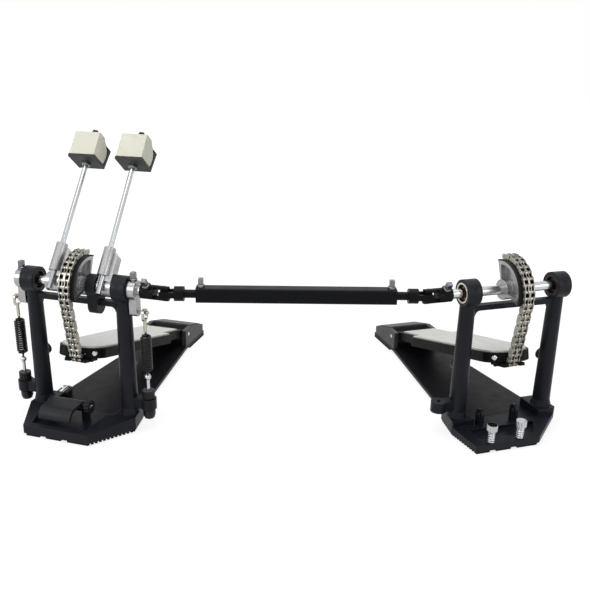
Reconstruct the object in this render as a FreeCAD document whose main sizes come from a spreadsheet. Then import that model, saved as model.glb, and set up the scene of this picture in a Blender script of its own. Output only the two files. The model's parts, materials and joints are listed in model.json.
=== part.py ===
import FreeCAD, Part
import math
import os
import re
from types import SimpleNamespace

import Sketcher
from FreeCAD import Placement, Rotation, Vector

# Double bass drum pedal. Each pedal has a frame of its own: x along the axle, y towards the heel, z up,
# with its origin on the floor under the middle of the axle. The part's origin is the primary pedal's.

SIZES = [
    # Stance of the two pedals
    ("axle_height", 190), ("pedal_spacing", 552), ("toe_in_angle", 16.5),
    # Fits and cuts
    ("overrun", 1), ("running_gap", 0.06), ("seat_gap", 0.05), ("part_gap", 0.4), ("loose_gap", 0.35),
    # Cast frame
    ("foot_height", 4), ("toe_thick", 16.5), ("toe_front", 67.5), ("main_front_left", 53),
    ("main_front_right", 39), ("slave_front_left", 73), ("slave_front_right", 17), ("toe_side_front", 15),
    ("toe_wide", 79), ("toe_narrow", 76), ("toe_back", 22), ("toe_back_half", 73), ("toe_rim", 8),
    ("toe_floor", 10), ("toe_front_drop", 5), ("well_back", 18), ("toe_gap_half", 48),
    ("deck_height", 12), ("trough_rim", 13.5), ("trough_front", 54), ("trough_back", 28),
    ("trough_floor", 6.5),
    ("post_spacing", 128), ("post_foot_radius", 11.5), ("post_top_radius", 9.5),
    ("flare_radius", 13.5), ("flare_tall", 8), ("boss_radius", 8), ("boss_long", 14), ("boss_height", 88),
    ("housing_radius", 17), ("housing_long", 18.5), ("bearing_radius", 13), ("race_rim", 2), ("race_deep", 4),
    ("bar_drop", 17), ("bar_tall", 7), ("bar_deep", 9), ("gusset_radius", 6.5),
    ("lug_clear", 8.5), ("lug_radius", 10), ("lug_low", 30), ("lug_tall", 14), ("lug_wide", 13),
    # Base plate, feet and heel
    ("plate_thick", 5), ("plate_front_half", 67), ("plate_rear_half", 38), ("plate_front", 4),
    ("plate_taper_end", 248), ("plate_end", 322), ("plate_overlap_gap", 0.3), ("heel_foot_long", 60),
    ("hinge_back", 258), ("hinge_height", 27), ("pin_radius", 3), ("heel_half", 38), ("heel_front", 246),
    ("heel_rear", 318), ("heel_top", 36), ("heel_rear_top", 22), ("cheek_thick", 7), ("notch_deep", 25),
    # Footboard
    ("toe_pin_drop", 2.6), ("toe_chain_gap", 1.3), ("board_thick", 13), ("board_wall", 4),
    ("tongue_half", 30), ("tongue_long", 80), ("board_half", 42), ("toe_half", 33), ("toe_round", 26),
    ("tread_thick", 2.5), ("tread_inset", 3), ("tread_start", 26),
    ("toe_bracket_wide", 30), ("toe_bracket_tall", 4), ("toe_bracket_back", 4),
    ("toe_screw_inset", 0.2), ("toe_screw_long", 3), ("toe_knob_long", 6),
    # Shafts, cam and chain
    ("axle_radius", 6), ("cam_offset", 8), ("cam_radius", 38), ("cam_wide", 20), ("cam_web", 6),
    ("cam_hub_radius", 13), ("cam_rim", 6), ("cam_low_angle", 14), ("cam_high_angle", 112),
    ("chain_radius", 42), ("chain_pitch", 8), ("chain_lean_angle", 9.3), ("strand_spacing", 7.6),
    ("roller_radius", 2.5), ("roller_wide", 3.2), ("link_plate_thick", 0.9), ("link_plate_radius", 3.4),
    ("chain_pin_radius", 1.15), ("link_side_gap", 0.15), ("toe_curl_radius", 12),
    # Centre support, rockers and springs
    ("support_wide", 13.5), ("support_left", 19), ("support_radius", 15), ("support_lug_drop", 36),
    ("shaft_split", 2), ("rocker_gap", 1), ("rocker_wide", 10),
    ("rocker_radius", 12.5), ("rocker_reach", 28), ("rocker_tip_radius", 6), ("rocker_pin_radius", 2),
    ("rocker_pin_end", 4), ("link_thick", 3), ("link_half", 6.4), ("link_slot_radius", 3.8),
    ("link_slot_long", 4), ("link_tail", 14), ("link_tail_radius", 2.2),
    ("spring_eye_height", 74), ("spring_radius", 7.2),
    ("spring_wire", 1.1), ("spring_bend", 4.35), ("rod_width", 5), ("rod_eye_radius", 4.2),
    ("eye_pin_radius", 1.8), ("eye_pin_reach", 5.4),
    ("nut_radius", 8), ("nut_tall", 11), ("knob_radius", 8), ("knob_tall", 13), ("knob_foot_share", 0.8),
    # Beaters
    ("beater_lean_angle", 38), ("main_beater_place", -27), ("slave_beater_place", 41), ("rod_forward", 15),
    ("hub_radius", 12.5), ("hub_wide", 20), ("tube_radius", 7.6), ("tube_long", 37), ("tube_start", 9),
    ("beater_rod_radius", 3.4), ("beater_rod_low", 15), ("grip_low", 3), ("grip_top", 44),
    ("grip_deep", 12), ("grip_corner", 7), ("head_start", 163), ("head_wide", 36), ("head_tall", 33),
    ("head_front", 17), ("head_round", 18.5), ("head_round_height", 11), ("head_back", 12.5),
    ("head_top_front", 3.5), ("shell_thick", 4), ("shell_wide", 38), ("arm_gap", 2.5), ("arm_thick", 3.5),
    ("arm_knee_height", 25), ("arm_rod_gap", 2.8), ("arm_rise", 4), ("arm_tip_half", 6),
    ("rod_above_head", 12),
    # Drive shaft
    ("yoke_radius", 9.2), ("yoke_clear", 5.75), ("axle_yoke_long", 30), ("shaft_yoke_long", 24.5),
    ("yoke_ear", 6),
    ("yoke_slot", 10.2), ("yoke_throat", 12.4), ("yoke_ear_half", 3.6), ("cross_side", 9),
    ("cross_pin_radius", 2.4), ("drive_rod_radius", 5.2), ("tube_side", 18.5),
    ("tube_corner", 3), ("rod_show", 14.44), ("rod_insert", 92),
    # Hoop clamp and spurs
    ("jaw_left", -38.5), ("jaw_right", 7), ("jaw_thick", 4), ("jaw_pivot_back", 19), ("jaw_pivot_height", 28),
    ("jaw_reach", 36), ("jaw_lip", 14), ("jaw_pin_radius", 3), ("jaw_ear_thick", 4), ("jaw_ear_radius", 7),
    ("clamp_knob_radius", 9.5), ("clamp_knob_thick", 7), ("clamp_knob_gap", 0.5),
    ("spur_radius", 4.8), ("spur_head_radius", 6.6), ("spur_head_tall", 8), ("spur_tall", 31),
    ("spur_left", -48.6), ("spur_right", -7.2), ("spur_back", 59.5),
]

# Counts of links, of turns, of steps in a turn and of points on an arc where the gap is measured
WRAP_LINKS = 6
BEND_LINKS = 2
DROP_LINKS = 10
TOE_LINKS = 3
SPRING_TURNS = 16
QUARTERS = 4
ARC_POINTS = 6
# How far the middle of a quarter round lies from its corner, as a share of its radius
CORNER_SHARE = 1 - math.sqrt(0.5)

doc = FreeCAD.newDocument("double_bass_drum_pedal")
sheet = doc.addObject("Spreadsheet::Sheet", "Sizes")
for row, (alias, number) in enumerate(SIZES, start=1):
    sheet.set(f"A{row}", alias)
    sheet.set(f"B{row}", str(number))
    sheet.setAlias(f"B{row}", alias)
doc.recompute()
d = SimpleNamespace(**{alias: float(sheet.get(alias)) for alias, _ in SIZES})
ALIASES = sorted((alias for alias, _ in SIZES), key=len, reverse=True)
ALIAS_WORD = re.compile(r"\b(" + "|".join(ALIASES) + r")\b")

X_AXIS = Vector(1, 0, 0)
Y_AXIS = Vector(0, 1, 0)
Z_AXIS = Vector(0, 0, 1)
ALONG_X = Rotation(Y_AXIS, 90)
HOME = Placement()
MAIN_PLACE = Placement(Vector(0, 0, 0), Rotation(Z_AXIS, -d.toe_in_angle))
SLAVE_PLACE = Placement(Vector(d.pedal_spacing, 0, 0), Rotation(Z_AXIS, d.toe_in_angle))
AXLE = Vector(0, 0, d.axle_height)

nodes = []


def bind(feature, **formulas):
    """Ties a feature's sizes to the sheet; each formula is written in the sheet's aliases."""
    for prop, formula in formulas.items():
        feature.setExpression(prop, ALIAS_WORD.sub(r"Sizes.\1", formula))
    return feature


def cylinder(radius, height, place):
    feature = doc.addObject("Part::Cylinder", "Cylinder")
    bind(feature, Radius=radius, Height=height)
    feature.Placement = place
    return feature


def rod_x(radius, length, start):
    """A round bar along x from a start point."""
    return cylinder(radius, length, Placement(start, ALONG_X))


def cone(low_radius, high_radius, height, place):
    feature = doc.addObject("Part::Cone", "Cone")
    bind(feature, Radius1=low_radius, Radius2=high_radius, Height=height)
    feature.Placement = place
    return feature


def block(length, width, height, place):
    feature = doc.addObject("Part::Box", "Block")
    bind(feature, Length=length, Width=width, Height=height)
    feature.Placement = place
    return feature


def at(x, y, z):
    return Placement(Vector(x, y, z), Rotation())


def fuse(*features):
    feature = doc.addObject("Part::MultiFuse", "Fuse")
    feature.Shapes = list(features)
    feature.Refine = True
    return feature


def cut(base, *tools):
    feature = doc.addObject("Part::Cut", "Cut")
    feature.Base = base
    feature.Tool = tools[0] if len(tools) == 1 else fuse(*tools)
    feature.Refine = True
    return feature


def solid(shape):
    feature = doc.addObject("Part::Feature", "Solid")
    feature.Shape = shape
    return feature


def plane_of(body, role):
    return [feature for feature in body.Origin.OriginFeatures if feature.Role == role][0]


def sketch_on(body, role, points):
    """A closed outline on one of the body's own planes. A point with a third item is the end of an arc
    that passes through that item."""
    sketch = body.newObject("Sketcher::SketchObject", "Outline")
    sketch.AttachmentSupport = [(plane_of(body, role), "")]
    sketch.MapMode = "FlatFace"
    corners = [Vector(point[0], point[1], 0) for point in points]
    for index, point in enumerate(points):
        start = corners[index - 1]
        end = corners[index]
        if len(point) > 2:
            middle = Vector(point[2][0], point[2][1], 0)
            sketch.addGeometry(Part.ArcOfCircle(start, middle, end), False)
        else:
            sketch.addGeometry(Part.LineSegment(start, end), False)
    return sketch


def pad(role, points, length, place=HOME, both_ways=False):
    """A body made by padding one outline."""
    body = doc.addObject("PartDesign::Body", "Body")
    feature = body.newObject("PartDesign::Pad", "Pad")
    feature.Profile = sketch_on(body, role, points)
    bind(feature, Length=length)
    feature.Midplane = both_ways
    body.Placement = place
    return body


def pocket(body, role, points, length, reverse):
    feature = body.newObject("PartDesign::Pocket", "Pocket")
    feature.Profile = sketch_on(body, role, points)
    bind(feature, Length=length)
    feature.Reversed = reverse
    return feature


def node(feature, label, place):
    """Names a finished sub-part and sets it in the whole part's frame."""
    feature.Label = label
    feature.Placement = place.multiply(feature.Placement)
    nodes.append(feature)
    return feature


# Cast frame, base plate, feet and heel

POST_X = d.post_spacing / 2
TOE_TOP = d.foot_height + d.toe_thick
PLATE_TOP = d.foot_height + d.plate_thick
BAR_TOP = d.axle_height - d.bar_drop
LUG_REACH = POST_X + d.post_foot_radius + d.nut_radius + d.lug_clear


# Each toe's front corners and its widest points, left and right
MAIN_TOE = SimpleNamespace(
    front=(-d.main_front_left, d.main_front_right), side=(-d.toe_narrow, d.toe_wide))
SLAVE_TOE = SimpleNamespace(
    front=(-d.slave_front_left, d.slave_front_right), side=(-d.toe_wide, d.toe_narrow))


def toe_outline(toe, inset):
    left, right = toe.front
    side_left, side_right = toe.side
    return [
        (left + inset, -d.toe_front + inset), (right - inset, -d.toe_front + inset),
        (side_right - inset, -d.toe_side_front), (d.toe_back_half - inset, d.toe_back),
        (-d.toe_back_half + inset, d.toe_back), (side_left + inset, -d.toe_side_front),
    ]


def toe_base(toe):
    """The toe, low between the posts, with a seat below for the base plate."""
    base = pad("XY_Plane", toe_outline(toe, 0), "toe_thick", at(0, 0, d.foot_height))
    gap = block("2 * toe_gap_half", "well_back + toe_back + overrun", "toe_thick",
                at(-d.toe_gap_half, -d.well_back, PLATE_TOP))
    plate_seat = block(
        "2 * (plate_front_half + plate_overlap_gap)", "toe_back - plate_front + plate_overlap_gap + overrun",
        "plate_thick + plate_overlap_gap + overrun",
        at(-d.plate_front_half - d.plate_overlap_gap, d.plate_front - d.plate_overlap_gap,
           d.foot_height - d.overrun))
    return cut(base, gap, plate_seat)


def hoop_well():
    """The primary toe's slope down to the front, and the hollow below the hoop clamp with a rim round it."""
    left, right = MAIN_TOE.front
    front = -d.toe_front + d.toe_rim
    well = pad("XY_Plane", [(left + d.toe_rim, front), (right - d.toe_rim, front), (right, -d.well_back),
                            (left, -d.well_back)], "toe_thick", at(0, 0, d.toe_floor))
    high = TOE_TOP + d.toe_thick
    slope = pad("YZ_Plane", [
        (-d.toe_front, TOE_TOP - d.toe_front_drop), (-d.toe_side_front, TOE_TOP),
        (-d.toe_side_front, high), (-d.toe_front, high),
    ], "4 * toe_wide", both_ways=True)
    return [well, slope]


def toe_deck():
    """The cuts that leave the slave's toe low in front, with a trough behind the rim."""
    left, right = SLAVE_TOE.front
    side = 2 * d.toe_wide
    front = -d.toe_front - d.overrun
    deck = pad("XY_Plane", [(-side, front), (side, front), (side, -d.well_back), (-side, -d.well_back)],
               "toe_thick", at(0, 0, d.deck_height))
    trough = pad("XY_Plane", [
        (left + d.trough_rim, -d.trough_front), (right, -d.trough_front),
        (d.toe_gap_half - d.trough_rim, -d.trough_back), (left + d.trough_rim, -d.trough_back),
    ], "toe_thick", at(0, 0, d.trough_floor))
    return [deck, trough]


def cross_bar():
    """The bar under the axle, with a round gusset into each post."""
    low = BAR_TOP - d.bar_tall
    side = POST_X - d.post_top_radius
    gusset = d.gusset_radius
    bulge = gusset * CORNER_SHARE
    points = [
        (-POST_X, BAR_TOP), (POST_X, BAR_TOP), (POST_X, low - gusset), (side, low - gusset),
        (side - gusset, low, (side - bulge, low - bulge)), (-side + gusset, low),
        (-side, low - gusset, (-side + bulge, low - bulge)), (-POST_X, low - gusset),
    ]
    return pad("XZ_Plane", points, "bar_deep", both_ways=True)


def post(side):
    x = side * POST_X
    pieces = [
        cone("post_foot_radius", "post_top_radius", "axle_height - foot_height - toe_thick",
             at(x, 0, TOE_TOP)),
        cone("flare_radius", "post_foot_radius", "flare_tall", at(x, 0, TOE_TOP)),
        cylinder("boss_radius", "boss_long", Placement(Vector(x, 0, d.boss_height), Rotation(X_AXIS, -90))),
        rod_x("housing_radius", "housing_long", Vector(x - d.housing_long / 2, 0, d.axle_height)),
    ]
    return pieces


def spring_lug(side):
    start = POST_X if side > 0 else -LUG_REACH
    return [
        cylinder("lug_radius", "lug_tall", at(side * LUG_REACH, 0, d.lug_low)),
        block("post_foot_radius + nut_radius + lug_clear", "lug_wide", "lug_tall",
              at(start, -d.lug_wide / 2, d.lug_low)),
    ]


def jaw_ears():
    """Two ears on the toe that carry the hoop clamp's jaw. The slave's casting has them too."""
    ears = []
    for x in (d.jaw_left - d.jaw_ear_thick - d.part_gap, d.jaw_right + d.part_gap):
        ears.append(block("jaw_ear_thick", "2 * jaw_ear_radius",
                          "jaw_pivot_height - foot_height - plate_thick",
                          at(x, -d.jaw_pivot_back - d.jaw_ear_radius, PLATE_TOP)))
        ears.append(rod_x("jaw_ear_radius", "jaw_ear_thick",
                          Vector(x, -d.jaw_pivot_back, d.jaw_pivot_height)))
    return ears


def frame(label, place, toe, lug_sides, has_clamp):
    toe_cuts = hoop_well() if has_clamp else toe_deck()
    pieces = [cut(toe_base(toe), *toe_cuts), cross_bar()]
    holes = []
    for side in (-1, 1):
        pieces += post(side)
        holes.append(rod_x("bearing_radius", "housing_long + 2 * overrun",
                           Vector(side * POST_X - d.housing_long / 2 - d.overrun, 0, d.axle_height)))
    for side in lug_sides:
        pieces += spring_lug(side)
        holes.append(cylinder("rod_width / 2 + running_gap", "lug_tall + 2 * overrun",
                              at(side * LUG_REACH, 0, d.lug_low - d.overrun)))
    pieces += jaw_ears()
    holes.append(rod_x("jaw_pin_radius + running_gap",
                       "jaw_right - jaw_left + 2 * (jaw_ear_thick + part_gap + overrun)",
                       Vector(d.jaw_left - d.jaw_ear_thick - d.part_gap - d.overrun,
                              -d.jaw_pivot_back, d.jaw_pivot_height)))
    if not has_clamp:
        for x in (d.spur_left, d.spur_right):
            holes.append(cylinder("spur_radius + seat_gap", "toe_thick + 2 * overrun",
                                  at(x, -d.spur_back, d.foot_height - d.overrun)))
    node(cut(fuse(*pieces), *holes), label, place)


def base_plate(label, place):
    points = [
        (-d.plate_front_half, d.plate_front), (d.plate_front_half, d.plate_front),
        (d.plate_rear_half, d.plate_taper_end), (d.plate_rear_half, d.plate_end),
        (-d.plate_rear_half, d.plate_end), (-d.plate_rear_half, d.plate_taper_end),
    ]
    node(pad("XY_Plane", points, "plate_thick", at(0, 0, d.foot_height)), label, place)


def rubber_feet(label, place, toe):
    """The toe pad and the heel pad, which stand on the floor."""
    toe = pad("XY_Plane", toe_outline(toe, d.foot_height / 2), "foot_height")
    heel = block("2 * plate_rear_half", "heel_foot_long", "foot_height",
                 at(-d.plate_rear_half, d.plate_end - d.heel_foot_long, 0))
    node(fuse(toe, heel), label, place)


def heel_block(label, place):
    points = [
        (d.heel_front, PLATE_TOP), (d.heel_rear, PLATE_TOP), (d.heel_rear, d.heel_rear_top),
        (d.heel_front + d.notch_deep, d.heel_top), (d.heel_front, d.heel_top),
    ]
    body = pad("YZ_Plane", points, "2 * heel_half", both_ways=True)
    notch_half = d.heel_half - d.cheek_thick
    notch = block("2 * (heel_half - cheek_thick)", "notch_deep + overrun", "heel_top",
                  at(-notch_half, d.heel_front - d.overrun, PLATE_TOP))
    bore = rod_x("pin_radius + seat_gap", "2 * (heel_half + overrun)",
                 Vector(-d.heel_half - d.overrun, d.hinge_back, d.hinge_height))
    node(cut(body, notch, bore), label, place)


def hinge_pin(label, place):
    start = Vector(-d.heel_half, d.hinge_back, d.hinge_height)
    node(rod_x("pin_radius", "2 * heel_half", start), label, place)


def bearings(label, place):
    """The bearing in each housing, with a race that stands out at both ends."""
    rings = []
    for side in (-1, 1):
        start = Vector(side * POST_X - d.housing_long / 2, 0, d.axle_height)
        end = start + X_AXIS * (d.housing_long - d.race_deep)
        rings.append(cut(
            rod_x("bearing_radius - seat_gap", "housing_long", start),
            rod_x("axle_radius + running_gap", "housing_long + 2 * overrun", start - X_AXIS * d.overrun),
            rod_x("bearing_radius - race_rim", "race_deep + overrun", start - X_AXIS * d.overrun),
            rod_x("bearing_radius - race_rim", "race_deep + overrun", end)))
    node(fuse(*rings), label, place)


# Chain. Pins are counted from the point where the chain leaves the cam: upwards on the cam, downwards to the
# toe. Links between an even pin and the next are inner links, the others outer links.

LEAN = math.radians(d.chain_lean_angle)
LINK_TURN = 2 * math.asin(d.chain_pitch / 2 / d.chain_radius)
CURL_TURN = 2 * math.asin(d.chain_pitch / 2 / d.toe_curl_radius)
DROP_WAY = Vector(0, math.sin(LEAN), -math.cos(LEAN))
BACK_WAY = Vector(0, math.cos(LEAN), math.sin(LEAN))
FIRST_BEND = 0
FIRST_UPPER = BEND_LINKS
FIRST_WRAP = 2 * BEND_LINKS
TOE_PIN = -DROP_LINKS


def chain_pin(count):
    """Where a pin's middle lies in the pedal's frame, in the plane x = 0."""
    if count >= 0:
        angle = count * LINK_TURN - LEAN
        return AXLE + Vector(0, -math.cos(angle), math.sin(angle)) * d.chain_radius
    if count >= TOE_PIN:
        return chain_pin(0) + DROP_WAY * (-count * d.chain_pitch)
    angle = (TOE_PIN - count) * CURL_TURN
    centre = chain_pin(TOE_PIN) + BACK_WAY * d.toe_curl_radius
    return centre + (DROP_WAY * math.sin(angle) - BACK_WAY * math.cos(angle)) * d.toe_curl_radius


# Half widths across the duplex chain, from its middle: a strand's middle, its roller, its inner link, the
# side of the outer link, the outer link's middle plate, the pins' ends and the room that the chain needs
STRAND = d.strand_spacing / 2
ROLLER_HALF = d.roller_wide / 2
INNER_SIDE = ROLLER_HALF + d.link_plate_thick
OUTER_START = STRAND + INNER_SIDE + d.link_side_gap
MIDDLE_HALF = STRAND - INNER_SIDE - d.link_side_gap
PIN_REACH = OUTER_START + d.link_plate_thick + d.link_side_gap
CHAIN_ROOM = PIN_REACH + d.part_gap


# Footboards. The board's own frame has its origin on the hinge pin, with the toe towards -y.

BOARD_HALF_THICK = d.board_thick / 2
HINGE = Vector(0, d.hinge_back, d.hinge_height)
TOE_SPAN = chain_pin(TOE_PIN) - HINGE
BOARD_RISE = math.atan2(TOE_SPAN.z, -TOE_SPAN.y) + math.asin(d.toe_pin_drop / TOE_SPAN.Length)
BOARD_PLACE = Placement(HINGE, Rotation(X_AXIS, -math.degrees(BOARD_RISE)))


def in_board(count):
    """Where a chain pin's middle lies in the board's frame."""
    return BOARD_PLACE.inverse().multVec(chain_pin(count))


BOARD_LONG = -in_board(TOE_PIN).y - d.link_plate_radius - d.toe_chain_gap


def board_outline(inset, start):
    shoulder = -d.tongue_long - inset
    toe_y = -BOARD_LONG + d.toe_round
    return [
        (-d.tongue_half + inset, start), (-d.tongue_half + inset, shoulder),
        (-d.board_half + inset, shoulder), (-d.toe_half + inset, toe_y),
        (d.toe_half - inset, toe_y, (0, -BOARD_LONG + inset)),
        (d.board_half - inset, shoulder), (d.tongue_half - inset, shoulder), (d.tongue_half - inset, start),
    ]


def footboard(label, place, x):
    """The board, hollow below, with a notch under the toe for the chain."""
    body = pad("XY_Plane", board_outline(0, 0), "board_thick", both_ways=True)
    wall = d.board_wall
    hollow = [
        (-d.board_half + wall, -d.tongue_long - wall), (-d.toe_half + wall, -BOARD_LONG + d.toe_round),
        (d.toe_half - wall, -BOARD_LONG + d.toe_round), (d.board_half - wall, -d.tongue_long - wall),
    ]
    pocket(body, "XY_Plane", hollow, "board_thick", False)
    notch_end = -BOARD_LONG + d.toe_round + d.overrun
    chain_notch = [
        (x - CHAIN_ROOM, -BOARD_LONG - d.overrun), (x + CHAIN_ROOM, -BOARD_LONG - d.overrun),
        (x + CHAIN_ROOM, notch_end), (x - CHAIN_ROOM, notch_end),
    ]
    pocket(body, "XY_Plane", chain_notch, "board_thick", False)
    knuckle = rod_x("board_thick / 2", "2 * tongue_half", Vector(-d.tongue_half, 0, 0))
    bore = rod_x("pin_radius + running_gap", "2 * (tongue_half + overrun)",
                 Vector(-d.tongue_half - d.overrun, 0, 0))
    node(cut(fuse(body, knuckle), bore), label, place.multiply(BOARD_PLACE))


def tread_plate(label, place):
    body = pad("XY_Plane", board_outline(d.tread_inset, -d.tread_start), "tread_thick",
               at(0, 0, BOARD_HALF_THICK))
    node(body, label, place.multiply(BOARD_PLACE))


# Chain links

def link_plate(x, thick):
    """A link plate round two pins, the first at the origin and the second one pitch along y."""
    radius = d.link_plate_radius
    far = d.chain_pitch
    edges = [
        Part.LineSegment(Vector(x, 0, radius), Vector(x, far, radius)).toShape(),
        Part.Arc(Vector(x, far, radius), Vector(x, far + radius, 0), Vector(x, far, -radius)).toShape(),
        Part.LineSegment(Vector(x, far, -radius), Vector(x, 0, -radius)).toShape(),
        Part.Arc(Vector(x, 0, -radius), Vector(x, -radius, 0), Vector(x, 0, radius)).toShape(),
    ]
    return Part.Face(Part.Wire(edges)).extrude(Vector(thick, 0, 0))


def pin_round(radius, y, start, length):
    return Part.makeCylinder(radius, length, Vector(start, y, 0), X_AXIS)


def inner_link():
    strands = []
    for middle in (-STRAND, STRAND):
        pieces = [link_plate(middle + ROLLER_HALF, d.link_plate_thick)]
        for y in (0, d.chain_pitch):
            pieces.append(pin_round(d.roller_radius, y, middle - ROLLER_HALF, d.roller_wide))
        strand = link_plate(middle - INNER_SIDE, d.link_plate_thick).multiFuse(pieces)
        for y in (0, d.chain_pitch):
            strand = strand.cut(pin_round(d.chain_pin_radius + d.running_gap, y,
                                          middle - INNER_SIDE - d.overrun, 2 * (INNER_SIDE + d.overrun)))
        strands.append(strand.removeSplitter())
    return strands


def outer_link(pin_places):
    pieces = [link_plate(OUTER_START, d.link_plate_thick), link_plate(-MIDDLE_HALF, 2 * MIDDLE_HALF)]
    for y in pin_places:
        pieces.append(pin_round(d.chain_pin_radius, y, -PIN_REACH, 2 * PIN_REACH))
    link = link_plate(-OUTER_START - d.link_plate_thick, d.link_plate_thick).multiFuse(pieces)
    return [link.removeSplitter()]


def chain(label, place, x, first, last, open_end=False):
    """The links from one pin to another, as one sub-part of separate links. An open end has no pin there."""
    links = []
    for count in range(first, last):
        start = chain_pin(count)
        along = chain_pin(count + 1) - start
        lay = Placement(start + X_AXIS * x, Rotation(X_AXIS, math.degrees(math.atan2(along.z, along.y))))
        if count % 2 == 0:
            shapes = inner_link()
        else:
            is_open = open_end and count + 1 == last
            shapes = outer_link((0,) if is_open else (0, d.chain_pitch))
        for shape in shapes:
            links.append(shape.transformed(lay.toMatrix()))
    node(solid(Part.makeCompound(links)), label, place)


def toe_bracket(label, place, x):
    """The block under the toe that holds the chain's end, with a slot for the chain, a screw and a knob."""
    front = in_board(TOE_PIN).y - d.link_plate_radius / 2
    left = x - d.toe_bracket_wide / 2
    low = -BOARD_HALF_THICK - d.toe_bracket_tall
    slot_long = in_board(TOE_PIN - TOE_LINKS).y + d.link_plate_radius + d.part_gap - front
    slot = pad("XY_Plane", [(x - CHAIN_ROOM, front - d.overrun), (x + CHAIN_ROOM, front - d.overrun),
                            (x + CHAIN_ROOM, front + slot_long), (x - CHAIN_ROOM, front + slot_long)],
               "toe_bracket_tall + 2 * overrun", at(0, 0, low - d.overrun))
    deep = slot_long + d.toe_bracket_back
    body = pad("XY_Plane", [(left, front), (left + d.toe_bracket_wide, front),
                            (left + d.toe_bracket_wide, front + deep), (left, front + deep)],
               "toe_bracket_tall", at(0, 0, low))
    middle = Vector(0, front + slot_long / 2, low + d.toe_bracket_tall / 2)
    screw_radius = "toe_bracket_tall / 2 - toe_screw_inset"
    screw = rod_x(screw_radius, "toe_screw_long", middle + X_AXIS * (left + d.toe_bracket_wide))
    knob = rod_x(screw_radius, "toe_knob_long", middle + X_AXIS * (left - d.toe_knob_long))
    node(fuse(cut(body, slot), screw, knob), label, place.multiply(BOARD_PLACE))


# Shafts, cam, centre support and beaters

SHAFT_MEET = d.support_left + d.support_wide / 2
HOUSING_END = POST_X + d.housing_long / 2
ROCKER_START = HOUSING_END + d.rocker_gap
ROCKER_END = ROCKER_START + d.rocker_wide
JOINT_X = ROCKER_END + d.yoke_clear + d.axle_yoke_long
JOINT_REACH = ("((post_spacing + housing_long) / 2 + rocker_gap + rocker_wide + yoke_clear"
               " + axle_yoke_long)")
YOKE_BORE_END = JOINT_X - d.yoke_throat - d.overrun


def axle(label, place, start, length):
    node(rod_x("axle_radius", length, AXLE + X_AXIS * start), label, place)


def sector(inner, outer, low, high):
    """A ring sector on the pedal's side plane, its angles counted upwards from the front."""
    def spot(radius, angle):
        return (-radius * math.cos(angle), radius * math.sin(angle))
    low = math.radians(low)
    high = math.radians(high)
    middle = (low + high) / 2
    return [spot(outer, low), spot(outer, high) + (spot(outer, middle),), spot(inner, high),
            spot(inner, low) + (spot(inner, middle),)]


def cam(label, place, x):
    here = Placement(AXLE + X_AXIS * x, Rotation())
    disc = pad("YZ_Plane", sector(d.cam_hub_radius / 2, d.cam_radius, -d.cam_low_angle, d.cam_high_angle),
               "cam_wide", here, both_ways=True)
    hub = rod_x("cam_hub_radius", "cam_wide", AXLE + X_AXIS * (x - d.cam_wide / 2))
    bore = rod_x("axle_radius + seat_gap", "cam_wide + 2 * overrun",
                 AXLE + X_AXIS * (x - d.cam_wide / 2 - d.overrun))
    rim = math.degrees(d.cam_rim / d.cam_radius)
    window = sector(d.cam_hub_radius, d.cam_radius - d.cam_rim, rim - d.cam_low_angle, d.cam_high_angle - rim)
    dishes = []
    for side in (-1, 1):
        deep = (d.cam_wide - d.cam_web) / 2 + d.overrun
        middle = x + side * (d.cam_web + deep) / 2
        dishes.append(pad("YZ_Plane", window, "(cam_wide - cam_web) / 2 + overrun",
                          Placement(AXLE + X_AXIS * middle, Rotation()), both_ways=True))
    node(cut(fuse(cut(disc, *dishes), hub), bore), label, place)


def centre_support(label, place):
    half = d.support_radius * (1 - CORNER_SHARE)
    round_height = half - d.support_lug_drop
    lug = [(half, 0), (-half, 0), (-half, round_height), (half, round_height, (0, -d.support_lug_drop))]
    body = fuse(
        rod_x("support_radius", "support_wide", AXLE + X_AXIS * d.support_left),
        pad("YZ_Plane", lug, "support_wide", Placement(AXLE + X_AXIS * d.support_left, Rotation())))
    bore = rod_x("axle_radius + running_gap", "support_wide + 2 * overrun",
                 AXLE + X_AXIS * (d.support_left - d.overrun))
    bar_room = block("support_wide + 2 * overrun", "bar_deep + 2 * seat_gap", "bar_tall + 2 * seat_gap",
                     at(d.support_left - d.overrun, -d.bar_deep / 2 - d.seat_gap,
                        BAR_TOP - d.bar_tall - d.seat_gap))
    node(cut(body, bore, bar_room), label, place)


BEATER_PLACE = Placement(AXLE, Rotation(X_AXIS, -d.beater_lean_angle))


def beater_hub(label, place, x, hub_start):
    """A collar on the axle with the tube for the beater's rod and the block that clamps it."""
    grip_left = x - d.tube_radius * (1 - CORNER_SHARE)
    grip_right = x + d.hub_wide - d.tube_radius
    corner = d.grip_corner
    grip = pad("XZ_Plane", [
        (grip_left, d.grip_low), (grip_right, d.grip_low), (grip_right, d.grip_top - corner),
        (grip_right - corner, d.grip_top), (grip_left, d.grip_top),
    ], "grip_deep", at(0, -d.rod_forward + d.grip_deep / 2, 0), both_ways=True)
    collar = rod_x("hub_radius", "hub_wide", Vector(hub_start, 0, 0))
    body = fuse(collar, cylinder("tube_radius", "tube_long", at(x, -d.rod_forward, d.tube_start)), grip)
    bore = rod_x("axle_radius + seat_gap", "2 * (hub_wide + overrun)",
                 Vector(hub_start - d.hub_wide / 2 - d.overrun, 0, 0))
    rod_hole = cylinder("beater_rod_radius + running_gap",
                        "hub_radius + tube_start + tube_long + 2 * overrun",
                        at(x, -d.rod_forward, -d.hub_radius - d.overrun))
    node(cut(body, bore, rod_hole), label, place.multiply(BEATER_PLACE))


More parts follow.
